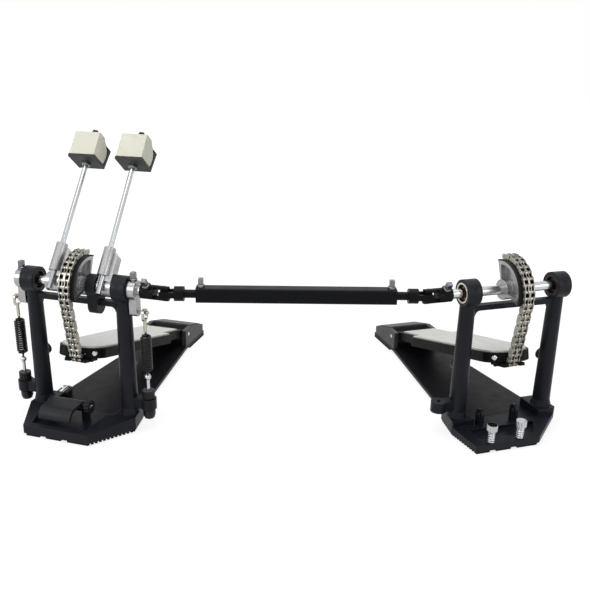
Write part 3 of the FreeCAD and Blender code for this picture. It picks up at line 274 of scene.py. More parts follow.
FINISHES = {
    "frame_paint": finish_of("frame_paint", linear(22, 25, 33), linear(17, 19, 26), linear(52, 54, 62),
                             roughness=0.42, scale=1400, bump=0.08, edge=1.2, wear=0.3, specular=0.16),
    "plate_paint": finish_of("plate_paint", linear(19, 19, 25), linear(14, 14, 19), linear(56, 56, 62),
                             roughness=0.46, scale=1200, bump=0.1, edge=0.8, wear=0.3, specular=0.12),
    "rubber": finish_of("rubber", linear(26, 27, 30), linear(19, 20, 22), linear(44, 44, 46),
                        roughness=0.75, scale=600, bump=0.2, edge=0.6, wear=0.4, specular=0.15),
    "heel_paint": finish_of("heel_paint", linear(60, 60, 61), linear(52, 52, 53), linear(94, 94, 94),
                            roughness=0.5, scale=1200, bump=0.12, edge=1.0, wear=0.3, specular=0.35),
    "chrome": finish_of("chrome", linear(196, 198, 200), linear(178, 180, 183), linear(214, 215, 217),
                        metallic=1.0, roughness=0.14, spread=0.03, scale=300, bump=0.0, edge=0.4, wear=0.2),
    "steel": finish_of("steel", linear(204, 205, 206), linear(182, 183, 185), linear(220, 220, 222),
                       metallic=1.0, roughness=0.22, spread=0.08, scale=500, bump=0.03, edge=0.4, wear=0.2),
    "board_paint": finish_of("board_paint", linear(13, 13, 16), linear(9, 9, 11), linear(48, 48, 50),
                             roughness=0.45, scale=1300, bump=0.12, edge=1.0, wear=0.25, specular=0.07),
    "tread": finish_of("tread", linear(206, 207, 202), linear(196, 197, 192), linear(226, 226, 222),
                       metallic=0.25, roughness=0.42, scale=500, stretch=(4, 0.25, 1), bump=0.06, edge=0.6,
                       wear=0.4),
    "die_cast": finish_of("die_cast", linear(172, 172, 172), linear(146, 146, 147), linear(210, 210, 210),
                          metallic=0.95, roughness=0.3, scale=1500, bump=0.1, edge=0.8, wear=0.5),
    "chain_steel": finish_of("chain_steel", linear(168, 165, 158), linear(118, 115, 108),
                             linear(210, 208, 202), metallic=1.0, roughness=0.24, spread=0.12, scale=400,
                             bump=0.03, edge=0.25, wear=0.5),
    "support_plastic": finish_of("support_plastic", linear(34, 35, 40), linear(28, 29, 33),
                                 linear(60, 61, 65), roughness=0.5, scale=1600, bump=0.12, edge=1.0,
                                 wear=0.2, specular=0.2),
    "felt_head": finish_of("felt_head", linear(223, 222, 207), linear(216, 215, 198), linear(236, 235, 224),
                           roughness=0.7, scale=700, bump=0.1, edge=1.2, wear=0.3, sheen=0.1),
    "shell_plastic": finish_of("shell_plastic", linear(48, 49, 50), linear(40, 41, 42), linear(80, 81, 82),
                               roughness=0.5, scale=1200, bump=0.12, edge=0.8, wear=0.3, specular=0.25),
    "spring_black": finish_of("spring_black", linear(17, 17, 19), linear(11, 11, 12), linear(52, 52, 54),
                              roughness=0.34, scale=500, bump=0.04, edge=0.4, wear=0.25, specular=0.25),
    "brass": finish_of("brass", linear(188, 185, 174), linear(160, 157, 145), linear(214, 212, 204),
                       metallic=1.0, roughness=0.25, scale=400, bump=0.04, edge=0.4, wear=0.6),
    "gun_metal": finish_of("gun_metal", linear(13, 14, 17), linear(9, 10, 12), linear(66, 66, 70),
                           roughness=0.36, scale=900, bump=0.08, edge=0.5, wear=0.4, specular=0.09),
    # The bearings' bronze is far darker than the bearing_bush bronze below: painted shade, the shade in the
    # housings' bearing faces put into the colour. The bush's colour is the bronze's own.
    "bronze": finish_of("bronze", linear(58, 47, 38), linear(42, 35, 29), linear(100, 84, 66),
                        metallic=0.7, roughness=0.45, scale=700, bump=0.08, edge=0.3, wear=0.3),
}
FELT_BLACK = finish_of("cam_felt", linear(24, 24, 25), linear(17, 17, 18), linear(40, 40, 41),
                       roughness=0.9, scale=1800, bump=0.4, edge=0.3, wear=0.2, specular=0.2, sheen=0.2)
HEEL_RUBBER = finish_of("heel_rubber", linear(88, 88, 87), linear(78, 78, 77), linear(108, 108, 106),
                        roughness=0.65, scale=900, bump=0.2, edge=0.4, wear=0.2)
RACE_STEEL = finish_of("bearing_race", linear(222, 219, 208), linear(204, 200, 186), linear(232, 230, 222),
                       metallic=0.9, roughness=0.25, scale=500, bump=0.03, edge=0.3, wear=0.2)
BUSH_BRONZE = finish_of("bearing_bush", linear(150, 112, 74), linear(120, 88, 58), linear(190, 160, 120),
                        metallic=1.0, roughness=0.35, scale=700, bump=0.08, edge=0.3, wear=0.3)
SCREW_STEEL = finish_of("screw_steel", linear(128, 129, 132), linear(100, 101, 104), linear(180, 181, 183),
                        metallic=1.0, roughness=0.28, spread=0.08, scale=600, bump=0.04, edge=0.4, wear=0.4)

for node_name, cad_object in frame["nodes"].items():
    cad_object.data.materials.clear()
    cad_object.data.materials.append(FINISHES[SLOTS[node_name]])


# Mesh forms, each about the z axis or on the xy plane of its own frame

BEVEL_SEGMENTS = 2
SHARP_ANGLE = 35


def round_spots(radius, steps):
    """The x and y of evenly spaced spots round the z axis."""
    angles = [math.tau * step / steps for step in range(steps)]
    return [(radius * math.cos(angle), radius * math.sin(angle)) for angle in angles]


def lathe(profile, steps=40):
    """A turned form from (radius, height) points, closed with a flat face at both ends."""
    form = bmesh.new()
    rings = [[form.verts.new((x, y, height)) for x, y in round_spots(radius, steps)]
             for radius, height in profile]
    for low, high in zip(rings, rings[1:]):
        for step in range(steps):
            form.faces.new((low[step - 1], low[step], high[step], high[step - 1]))
    form.faces.new(reversed(rings[0]))
    form.faces.new(rings[-1])
    return form


def ring(profile, steps=64):
    """A turned form from a closed loop of (radius, height) points."""
    form = bmesh.new()
    loops = [[form.verts.new((x, y, height)) for x, y in round_spots(radius, steps)]
             for radius, height in profile]
    for low, high in zip(loops, loops[1:] + loops[:1]):
        for step in range(steps):
            form.faces.new((low[step - 1], low[step], high[step], high[step - 1]))
    return form


def slab(outline, thick, round_edge):
    """A plate from an outline on the xy plane, with the rims of its two faces rounded."""
    form = bmesh.new()
    low = form.faces.new([form.verts.new((x, y, 0)) for x, y in outline])
    risen = bmesh.ops.extrude_face_region(form, geom=[low])
    for vertex in risen["geom"]:
        if isinstance(vertex, bmesh.types.BMVert):
            vertex.co.z += thick
    bmesh.ops.recalc_face_normals(form, faces=form.faces)
    if round_edge:
        rims = [edge for edge in form.edges if abs(edge.verts[0].co.z - edge.verts[1].co.z) < thick / 2]
        bmesh.ops.bevel(form, geom=rims, offset=round_edge, segments=BEVEL_SEGMENTS, affect="EDGES",
                        clamp_overlap=True)
    return form


def oblong(low_x, low_y, high_x, high_y):
    """The outline of a right-angled plate."""
    return [(low_x, low_y), (high_x, low_y), (high_x, high_y), (low_x, high_y)]


def joined(*forms_and_places):
    """Several forms as one, each moved to its place first."""
    whole = bmesh.new()
    for form, place in forms_and_places:
        bmesh.ops.transform(form, matrix=place, verts=form.verts)
        mesh = bpy.data.meshes.new("joined")
        form.to_mesh(mesh)
        form.free()
        whole.from_mesh(mesh)
        bpy.data.meshes.remove(mesh)
    return whole


def piece(name, form, place, finish, body):
    """Sets a form in the scene as a piece that moves with a body."""
    bmesh.ops.transform(form, matrix=place, verts=form.verts)
    bmesh.ops.recalc_face_normals(form, faces=form.faces)
    mesh = bpy.data.meshes.new(name)
    form.to_mesh(mesh)
    form.free()
    for face in mesh.polygons:
        face.use_smooth = True
    mesh.set_sharp_from_angle(angle=math.radians(SHARP_ANGLE))
    mesh.materials.append(finish)
    made = bpy.data.objects.new(name, mesh)
    bpy.context.scene.collection.objects.link(made)
    if body:
        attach(made, body)
    return made


# Return springs: a close coil whose end turns draw in to a straight tail

SPRING_TURNS = 16
WIRE_RADIUS = 1.3 * MM
WIRE_SIDES = 10
STEPS_PER_TURN = 28
TAIL_IN_RADII = 3
END_REACH_SHARE = 0.12
DRAW_IN_TURNS = 1.1


def coil(radius, low, high):
    """A wound tube up the z axis, its end turns drawn in to the axis."""
    form = bmesh.new()
    tail = TAIL_IN_RADII * WIRE_RADIUS
    steps = SPRING_TURNS * STEPS_PER_TURN
    line = [Vector((0, 0, low))]
    for step in range(steps + 1):
        share = step / steps
        near_end = min(share, 1 - share) * SPRING_TURNS
        drawn = math.sin(min(1, near_end / DRAW_IN_TURNS) * math.pi / 2)
        reach = radius * (END_REACH_SHARE + (1 - END_REACH_SHARE) * drawn)
        angle = math.tau * step / STEPS_PER_TURN
        line.append(Vector((reach * math.cos(angle), reach * math.sin(angle),
                            low + tail + (high - low - 2 * tail) * share)))
    line.append(Vector((0, 0, high)))
    loops = []
    for index, spot in enumerate(line):
        along = (line[min(index + 1, len(line) - 1)] - line[max(index - 1, 0)]).normalized()
        out = Vector((spot.x, spot.y, 0)) if index not in (0, len(line) - 1) else Vector((1, 0, 0))
        side = along.cross(out).normalized()
        out = side.cross(along)
        loops.append([form.verts.new(spot + out * x + side * y)
                      for x, y in round_spots(WIRE_RADIUS, WIRE_SIDES)])
    for low_loop, high_loop in zip(loops, loops[1:]):
        for k in range(WIRE_SIDES):
            form.faces.new((low_loop[k - 1], low_loop[k], high_loop[k], high_loop[k - 1]))
    form.faces.new(reversed(loops[0]))
    form.faces.new(loops[-1])
    return form


for prefix in ("main", "slave"):
    low, high = extent(f"{prefix}_spring", MAIN)
    centre = (low + high) / 2
    place = MAIN @ shift(centre.x, centre.y, 0)
    radius = (high.x - low.x) / 2 - WIRE_RADIUS
    wound = piece(f"{prefix}_wound_spring", coil(radius, low.z, high.z), place, FINISHES["spring_black"],
                  None)
    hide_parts(f"{prefix}_spring")
    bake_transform(wound)


# Forms round an axis or along a line

def rim_band(inner, outer, low, high, wide, steps=48):
    """A band round the x axis between two angles, which are counted upwards from the front."""
    form = bmesh.new()
    corners = ((-wide / 2, inner), (wide / 2, inner), (wide / 2, outer), (-wide / 2, outer))
    rounds = []
    for step in range(steps + 1):
        angle = math.radians(low + (high - low) * step / steps)
        rounds.append([form.verts.new((x, -radius * math.cos(angle), radius * math.sin(angle)))
                       for x, radius in corners])
    for near, far in zip(rounds, rounds[1:]):
        for index in range(len(near)):
            form.faces.new((near[index - 1], near[index], far[index], far[index - 1]))
    form.faces.new(reversed(rounds[0]))
    form.faces.new(rounds[-1])
    return form


# Each ridge has two outer corners, then the groove beside it has two inner ones
RIDGE_CORNERS = (0, 0, 1, 1)
# A thread's foot, crest and foot again, as shares of its pitch
THREAD_SHARES = (0.1, 0.5, 0.9)
THREAD_STEPS = 24


def knurled(radius, tall, ridges, ridge_deep):
    """A short upright cylinder with ridges round it."""
    outer = round_spots(radius, len(RIDGE_CORNERS) * ridges)
    inner = round_spots(radius - ridge_deep, len(RIDGE_CORNERS) * ridges)
    outline = [pair[corner] for pair, corner in zip(zip(outer, inner), RIDGE_CORNERS * ridges)]
    return slab(outline, tall, 0)


def threaded(radius, tall, pitch, thread_deep):
    """An upright screw, its thread drawn as close rings."""
    core = radius - thread_deep
    profile = [(core, 0)]
    for count in range(int(tall / pitch)):
        heights = [(count + share) * pitch for share in THREAD_SHARES]
        profile += zip((core, radius, core), heights)
    profile.append((core, tall))
    return lathe(profile, steps=THREAD_STEPS)


# Cam felts: a strip round each cam's rim, on the angles that the rim spans

FELT_LOW = -14
FELT_HIGH = 112
FELT_INNER = 36.6 * MM
FELT_OUTER = 38.4 * MM
FELT_PROUD = 0.4 * MM

for prefix in ("main", "slave"):
    low, high = extent(f"{prefix}_cam", PLACES[prefix])
    felt = rim_band(FELT_INNER, FELT_OUTER, FELT_LOW, FELT_HIGH, high.x - low.x + 2 * FELT_PROUD)
    place = PLACES[prefix] @ shift((low.x + high.x) / 2, 0, AXLE_HEIGHT)
    piece(f"{prefix}_cam_felt", felt, place, FELT_BLACK, f"{prefix}_shaft")


# Slave's open bearing: a bright race round a bronze bush, on the end that faces the drive shaft

RACE_INNER = 11 * MM
RACE_OUTER = 12.9 * MM
RACE_PROUD = 0.5 * MM
RACE_DEEP = 4 * MM
BUSH_INNER = 6.3 * MM


def flat_ring(inner, outer, thick):
    return ring([(inner, 0), (outer, 0), (outer, thick), (inner, thick)])


def open_bearing():
    start = extent("slave_bearings", SLAVE)[0].x
    race = SLAVE @ shift(start - RACE_PROUD, 0, AXLE_HEIGHT) @ turn(QUARTER, "Y")
    piece("slave_bearing_race", flat_ring(RACE_INNER, RACE_OUTER, RACE_PROUD), race, RACE_STEEL,
          "slave_frame")
    bush = SLAVE @ shift(start + RACE_DEEP - RACE_PROUD, 0, AXLE_HEIGHT) @ turn(QUARTER, "Y")
    piece("slave_bearing_bush", flat_ring(BUSH_INNER, RACE_INNER, RACE_PROUD), bush, BUSH_BRONZE,
          "slave_frame")


open_bearing()


# Frame's set screws: a socket screw in the front of each bearing housing

HOUSING_RADIUS = 17 * MM
HOUSING_SPREAD = 64 * MM
SET_SCREW_RADIUS = 2.6 * MM
SET_SCREW_SINK = 1 * MM
SET_SCREW_PROUD = 0.2 * MM
SET_SCREW_STEPS = 20
SOCKET_RADIUS = 1.4 * MM
SOCKET_DEEP = 0.8 * MM
SET_SCREW_TILT = 62


def housing_screws(prefix):
    screws = []
    for x in (-HOUSING_SPREAD, HOUSING_SPREAD):
        screw = lathe([(SET_SCREW_RADIUS, -SET_SCREW_SINK), (SET_SCREW_RADIUS, SET_SCREW_PROUD),
                       (SOCKET_RADIUS, SET_SCREW_PROUD), (SOCKET_RADIUS, -SOCKET_DEEP)], SET_SCREW_STEPS)
        tilted = shift(x, 0, AXLE_HEIGHT) @ turn(SET_SCREW_TILT, "X")
        screws.append((screw, tilted @ shift(0, 0, HOUSING_RADIUS)))
    piece(f"{prefix}_housing_screws", joined(*screws), PLACES[prefix], FINISHES["gun_metal"],
          f"{prefix}_frame")


housing_screws("main")
housing_screws("slave")


# Key screws: a round collar with a square head, as a drum key turns

COLLAR_RADIUS = 5 * MM
COLLAR_TALL = 3 * MM
COLLAR_EDGE_SHARE = 0.75
COLLAR_TOP_SHARE = 0.85
SQUARE_HALF = 3.1 * MM
SQUARE_TALL = 8 * MM
SQUARE_ROUND = 0.5 * MM
SCREW_SINK = 0.8 * MM
SCREW_FROM_TUBE_END = 6 * MM
ROCKER_WIDE = 10 * MM
YOKE_RADIUS = 9.2 * MM
YOKE_SCREW_PLACE = 9 * MM
YOKE_SCREW_TILT = 35
BOSS_RADIUS = 6.5 * MM
BOSS_TALL = 2.5 * MM
BOSS_EDGE_SHARE = 0.6
BOSS_TOP_SHARE = 0.9


def key_screw():
    collar = lathe([(COLLAR_RADIUS, -SCREW_SINK), (COLLAR_RADIUS, COLLAR_EDGE_SHARE * COLLAR_TALL),
                    (COLLAR_TOP_SHARE * COLLAR_RADIUS, COLLAR_TALL)])
    square = oblong(-SQUARE_HALF, -SQUARE_HALF, SQUARE_HALF, SQUARE_HALF)
    head = slab(square, SQUARE_TALL, SQUARE_ROUND)
    return joined((collar, Matrix()), (head, shift(0, 0, COLLAR_TALL)))


def rocker_screws():
    for prefix, body, inner_end in (("main", "main_shaft", 1), ("slave", "slave_beater_shaft", 0)):
        ends = extent(f"{prefix}_rocker", MAIN)
        inward = 1 if inner_end else -1
        place = MAIN @ shift(ends[inner_end].x - inward * ROCKER_WIDE / 2, 0, ends[1].z)
        piece(f"{prefix}_rocker_screw", key_screw(), place, SCREW_STEEL, body)


def tube_screws():
    low, high = extent("drive_tube", Matrix())
    screws = []
    for x in (low.x + SCREW_FROM_TUBE_END, high.x - SCREW_FROM_TUBE_END):
        screws.append((key_screw(), shift(x, (low.y + high.y) / 2, high.z)))
    piece("drive_tube_screws", joined(*screws), Matrix(), SCREW_STEEL, "drive_shaft")


def yoke_screws():
    for node, place, body, outer_end in (("left_yoke", MAIN, "slave_beater_shaft", 0),
                                         ("right_yoke", SLAVE, "slave_shaft", 1)):
        inward = 1 if outer_end == 0 else -1
        x = extent(node, place)[outer_end].x + inward * YOKE_SCREW_PLACE
        tilted = place @ shift(x, 0, AXLE_HEIGHT) @ turn(YOKE_SCREW_TILT, "X") @ shift(0, 0, YOKE_RADIUS)
        boss = lathe([(BOSS_RADIUS, -BOSS_TALL), (BOSS_RADIUS, BOSS_EDGE_SHARE * BOSS_TALL),
                      (BOSS_TOP_SHARE * BOSS_RADIUS, BOSS_TALL)])
        piece(f"{node}_boss", boss, tilted, FINISHES["gun_metal"], body)
        piece(f"{node}_screw", key_screw(), tilted @ shift(0, 0, BOSS_TALL), SCREW_STEEL, body)


rocker_screws()
tube_screws()
yoke_screws()


# Heels: a rubber inlay on each sloping top, in a dark rim

HEEL_FLAT = 25 * MM
HEEL_REAR_TOP = 22 * MM
INLAY_MARGIN = 5 * MM
INLAY_THICK = 1.2 * MM
RIM_MARGIN = 3 * MM
RIM_THICK = 0.6 * MM

for prefix in ("main", "slave"):
    low, high = extent(f"{prefix}_heel_block", PLACES[prefix])
    run = high.y - low.y - HEEL_FLAT
    fall = high.z - HEEL_REAR_TOP
    tilt = math.degrees(math.atan2(fall, run))
    slope = PLACES[prefix] @ shift(0, low.y + HEEL_FLAT, high.z) @ turn(-tilt, "X")
    long = math.hypot(run, fall)
    for name, margin, thick, finish in (("rim", RIM_MARGIN, RIM_THICK, FINISHES["rubber"]),
                                        ("inlay", INLAY_MARGIN, INLAY_THICK, HEEL_RUBBER)):
        half = high.x - margin
        cover = slab(oblong(-half, margin, half, long - margin), thick, thick / 2)
        piece(f"{prefix}_heel_{name}", cover, slope, finish, f"{prefix}_frame")


# Spurs on the slave's toe, hoop clamp's wheel, tension rods and beater rods' caps

SPUR_RADIUS = 4.8 * MM
SPUR_HEAD_RADIUS = 6.6 * MM
SPUR_HEAD_TALL = 8 * MM
SPUR_PITCH = 3 * MM
SPUR_THREAD_DEEP = 1.1 * MM
SPUR_RIDGES = 18
SPUR_RIDGE_DEEP = 0.5 * MM


def spurs():
    low, high = extent("spur_bolts", SLAVE)
    tall = high.z - low.z - SPUR_HEAD_TALL
    bolts = []
    for x in (low.x + SPUR_HEAD_RADIUS, high.x - SPUR_HEAD_RADIUS):
        place = shift(x, (low.y + high.y) / 2, low.z)
        bolts.append((threaded(SPUR_RADIUS, tall, SPUR_PITCH, SPUR_THREAD_DEEP), place))
        head = knurled(SPUR_HEAD_RADIUS, SPUR_HEAD_TALL, SPUR_RIDGES, SPUR_RIDGE_DEEP)
        bolts.append((head, place @ shift(0, 0, tall)))
    made = piece("threaded_spurs", joined(*bolts), SLAVE, FINISHES["chrome"], "slave_frame")
    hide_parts("spur_bolts")


WHEEL_THICK = 7 * MM
WHEEL_CAP = 1 * MM
WHEEL_RIDGES = 14
WHEEL_RIDGE_DEEP = 0.9 * MM
CLAMP_SCREW_RADIUS = 3 * MM
CLAMP_EDGE_SHARE = 0.6
CLAMP_TOP_SHARE = 0.7


def clamp_wheel():
    low, high = extent("hoop_clamp_knob", MAIN)
    middle = (low + high) / 2
    place = MAIN @ shift(high.x - WHEEL_THICK, middle.y, middle.z) @ turn(QUARTER, "Y")
    wheel = knurled((high.z - low.z) / 2, WHEEL_THICK - WHEEL_CAP, WHEEL_RIDGES, WHEEL_RIDGE_DEEP)
    screw = lathe([(CLAMP_SCREW_RADIUS, low.x - high.x + WHEEL_THICK), (CLAMP_SCREW_RADIUS, 0)])
    made = piece("clamp_wheel", joined((wheel, Matrix()), (screw, Matrix())), place,
                 FINISHES["support_plastic"], "hoop_clamp_knob")
    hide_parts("hoop_clamp_knob")
    cap = lathe([(CLAMP_SCREW_RADIUS, 0), (CLAMP_SCREW_RADIUS, CLAMP_EDGE_SHARE * WHEEL_CAP),
                 (CLAMP_TOP_SHARE * CLAMP_SCREW_RADIUS, WHEEL_CAP)])
    piece("clamp_screw_end", cap, place @ shift(0, 0, WHEEL_THICK - WHEEL_CAP), FINISHES["chrome"],
          "hoop_clamp_knob")


NUT_RADIUS = 8 * MM
NUT_TALL = 11 * MM
NUT_RIDGES = 16
NUT_RIDGE_DEEP = 0.6 * MM
KNOB_TALL = 13 * MM
KNOB_END_SHARE = 0.8
KNOB_LOW_SHARE = 0.35
KNOB_HIGH_SHARE = 0.9
LUG_LOW = 30 * MM
LUG_TALL = 14 * MM
TENSION_GAP = 0.4 * MM
TENSION_ROD_RADIUS = 2.5 * MM
BALL_RADIUS = 4.2 * MM
BALL_ANGLES = [math.radians(angle) for angle in range(-60, 90, 15)]


def tension_rods():
    for prefix in ("main", "slave"):
        low, high = extent(f"{prefix}_tension_rod", MAIN)
        place = MAIN @ shift((low.x + high.x) / 2, 0, 0)
        ball_height = high.z - BALL_RADIUS
        ball = [(BALL_RADIUS * math.cos(angle), ball_height + BALL_RADIUS * math.sin(angle))
                for angle in BALL_ANGLES]
        rod = lathe([(TENSION_ROD_RADIUS, LUG_LOW - TENSION_GAP)] + ball)
        made = piece(f"{prefix}_tension_screw", rod, place, FINISHES["chrome"], "main_frame")
        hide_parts(f"{prefix}_tension_rod")
        nut = knurled(NUT_RADIUS, NUT_TALL, NUT_RIDGES, NUT_RIDGE_DEEP)
        knob = lathe([(KNOB_END_SHARE * NUT_RADIUS, 0), (NUT_RADIUS, KNOB_LOW_SHARE * KNOB_TALL),
                      (NUT_RADIUS, KNOB_HIGH_SHARE * KNOB_TALL), (KNOB_END_SHARE * NUT_RADIUS, KNOB_TALL)])
        grips = joined((nut, shift(0, 0, LUG_LOW + LUG_TALL + TENSION_GAP)), (knob, shift(0, 0, low.z)))
        piece(f"{prefix}_tension_grips", grips, place, FINISHES["spring_black"], "main_frame")


CAP_RADIUS = 4.6 * MM
CAP_TALL = 7 * MM
# The rod cap's rounded top: shares of its radius and of its height
CAP_SHARES = ((1, 0), (1, 0.6), (0.8, 0.88), (0.4, 1))
COLLAR_NUT_RADIUS = 6 * MM
COLLAR_NUT_TALL = 4 * MM
COLLAR_NUT_SIDES = 6
COLLAR_NUT_SHARES = ((0.85, 0), (1, 0.25), (1, 1))


def rod_caps():
    for prefix in ("main", "slave"):
        low, high = extent(f"{prefix}_beater_rod", BEATER_PLACE)
        on_rod = BEATER_PLACE @ shift((low.x + high.x) / 2, (low.y + high.y) / 2, 0)
        cap = lathe([(wide * CAP_RADIUS, tall * CAP_TALL) for wide, tall in CAP_SHARES])
        piece(f"{prefix}_rod_cap", cap, on_rod @ shift(0, 0, high.z - CAP_TALL), FINISHES["gun_metal"],
              f"{prefix}_beater")
        shell_low = extent(f"{prefix}_beater_shell", BEATER_PLACE)[0].z
        nut = lathe([(wide * COLLAR_NUT_RADIUS, tall * COLLAR_NUT_TALL)
                     for wide, tall in COLLAR_NUT_SHARES], COLLAR_NUT_SIDES)
        piece(f"{prefix}_rod_nut", nut, on_rod @ shift(0, 0, shell_low - COLLAR_NUT_TALL), SCREW_STEEL,
              f"{prefix}_beater")


spurs()
clamp_wheel()
tension_rods()
rod_caps()


# Toe screws: a bright round head on each footboard's round toe, on the side that faces the drive shaft

TOE_SCREW_RADIUS = 3.6 * MM
TOE_SCREW_TALL = 2 * MM
TOE_SCREW_EDGE_SHARE = 0.5
TOE_SCREW_TOP_SHARE = 0.7
TOE_SCREW_SIDE = 25 * MM
TOE_SCREW_TURN = 47
TOE_SCREW_NEAR = 3 * MM
TOE_EDGE = 5 * MM


def toe_screw(prefix, side):
    """The screw's head: side is 1 for the right of the footboard and -1 for its left."""
    back = PLACES[prefix].inverted()
    spots = [back @ vertex.co for vertex in frame["nodes"][f"{prefix}_footboard"].data.vertices]
    beside = [spot for spot in spots if abs(side * spot.x - TOE_SCREW_SIDE) < TOE_SCREW_NEAR]
    front = min(spot.y for spot in beside)
    edge = sorted((spot for spot in beside if spot.y < front + TOE_EDGE), key=lambda spot: spot.z)
    head = lathe([(TOE_SCREW_RADIUS, -TOE_SCREW_TALL),
                  (TOE_SCREW_RADIUS, TOE_SCREW_EDGE_SHARE * TOE_SCREW_TALL),
                  (TOE_SCREW_TOP_SHARE * TOE_SCREW_RADIUS, TOE_SCREW_TALL)])
    middle = Matrix.Translation((edge[0] + edge[-1]) / 2)
    place = PLACES[prefix] @ middle @ turn(side * TOE_SCREW_TURN, "Z") @ turn(QUARTER, "X")
    piece(f"{prefix}_toe_screw", head, place, FINISHES["chrome"], f"{prefix}_footboard")


toe_screw("main", 1)
toe_screw("slave", -1)


# Key holder behind the primary's left post: a dark block with the drum key lying in it

HOLDER_SPOT = (-56 * MM, 33 * MM)
HOLDER_HALF = 9 * MM
HOLDER_LONG = 14 * MM
HOLDER_TALL = 8 * MM
KEY_ROUND = 1 * MM
KEY_TIP_SHARE = 0.85
KEY_TOP_SHARE = 0.6
KEY_RADIUS = 3.2 * MM
KEY_LONG = 20 * MM
KEY_WING_HALF = 8 * MM
KEY_WING_THICK = 3 * MM


def key_holder():
    top = extent("main_base_plate", MAIN)[1].z
    block = oblong(-HOLDER_HALF, -HOLDER_LONG / 2, HOLDER_HALF, HOLDER_LONG / 2)
    place = MAIN @ shift(*HOLDER_SPOT, top)
    piece("key_holder", slab(block, HOLDER_TALL, KEY_ROUND), place, FINISHES["support_plastic"],
          "main_frame")
    stem = lathe([(KEY_TIP_SHARE * KEY_RADIUS, 0), (KEY_RADIUS, KEY_ROUND), (KEY_RADIUS, KEY_LONG),
                  (KEY_TOP_SHARE * KEY_RADIUS, KEY_LONG)])
    wings = oblong(-KEY_WING_HALF, -KEY_WING_THICK / 2, KEY_WING_HALF, KEY_WING_THICK / 2)
    wing = slab(wings, KEY_WING_THICK, KEY_ROUND)
    lying = place @ shift(0, -KEY_LONG / 2, HOLDER_TALL) @ turn(-QUARTER, "X")
    piece("drum_key", joined((stem, Matrix()), (wing, shift(0, 0, KEY_LONG))), lying, FINISHES["chrome"],
          "main_frame")


key_holder()


# Rubber feet: a pad with a ribbed and notched skirt below each toe, and a plain pad below each heel

SKIRT_TALL = 2.2 * MM
SKIRT_DEEP = 3 * MM
RIB_PITCH = 5 * MM
RIB_SHARE = 0.6
NOTCH_SHARES = (0.27, 0.62)
NOTCH_WIDE = 9 * MM
HEEL_ZONE = 150 * MM
HEEL_PAD_ROUND = 0.6 * MM


def pad_outline(prefix, at_toe):
    back = PLACES[prefix].inverted()
    spots = [back @ vertex.co for vertex in frame["nodes"][f"{prefix}_rubber_feet"].data.vertices]
    flat = [Vector((spot.x, spot.y)) for spot in spots if (spot.y < HEEL_ZONE) == at_toe]
    return [flat[index] for index in convex_hull_2d(flat)]


def skirt_spans(start, end, front):
    """The stretches of an edge that reach the floor, as shares of its length."""
    long = (end - start).length
    if start.y < front and end.y < front:
        half = NOTCH_WIDE / long / 2
        cuts = [0] + [share + side * half for share in NOTCH_SHARES for side in (-1, 1)] + [1]
        return list(zip(cuts[::2], cuts[1::2]))
    count = max(1, int(long / RIB_PITCH))
    return [(index / count, (index + RIB_SHARE) / count) for index in range(count)]


def rubber_feet(prefix):
    low, high = extent(f"{prefix}_rubber_feet", PLACES[prefix])
    toe = pad_outline(prefix, True)
    middle = sum(toe, Vector((0, 0))) / len(toe)
    inner = [spot + (middle - spot).normalized() * 2 * SKIRT_DEEP for spot in toe]
    forms = [(slab(toe, high.z - SKIRT_TALL, 0), shift(0, 0, SKIRT_TALL)),
             (slab(inner, SKIRT_TALL, 0), Matrix())]
    for start, end in zip(toe, toe[1:] + toe[:1]):
        inward = (end - start).orthogonal().normalized() * SKIRT_DEEP
        if inward.dot(middle - start) < 0:
            inward = -inward
        for first, last in skirt_spans(start, end, low.y + SKIRT_DEEP):
            near = start.lerp(end, first)
            far = start.lerp(end, last)
            forms.append((slab([near, far, far + inward, near + inward], SKIRT_TALL, 0), Matrix()))
    forms.append((slab(pad_outline(prefix, False), high.z, HEEL_PAD_ROUND), Matrix()))
    made = piece(f"{prefix}_ribbed_feet", joined(*forms), PLACES[prefix], FINISHES["rubber"],
                 f"{prefix}_frame")
    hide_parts(f"{prefix}_rubber_feet")


rubber_feet("main")
rubber_feet("slave")


# Stage: pale floor, soft light and the camera at the photograph's angle

def light_path_share(tree):
    """One where the camera or a reflection looks, nought where light is gathered."""
    path = tree.nodes.new("ShaderNodeLightPath")
    seen = maths(tree, "MAXIMUM", path.outputs["Is Camera Ray"], path.outputs["Is Glossy Ray"])
    return maths(tree, "MAXIMUM", seen, path.outputs["Is Transmission Ray"])


FLOOR_HALF = 6
FLOOR_SPOT = (0.25, 0, -0.2 * MM)
# The floor's grey where light is gathered, and the darker grey under the glow that the camera sees
GATHERED_GREY = (0.8, 0.8, 0.8, 1)
SHADED_GREY = (0.3, 0.3, 0.3, 1)
FLOOR_GLOW = 0.8
FADE_START = 0.55
FADE_END = 1.1


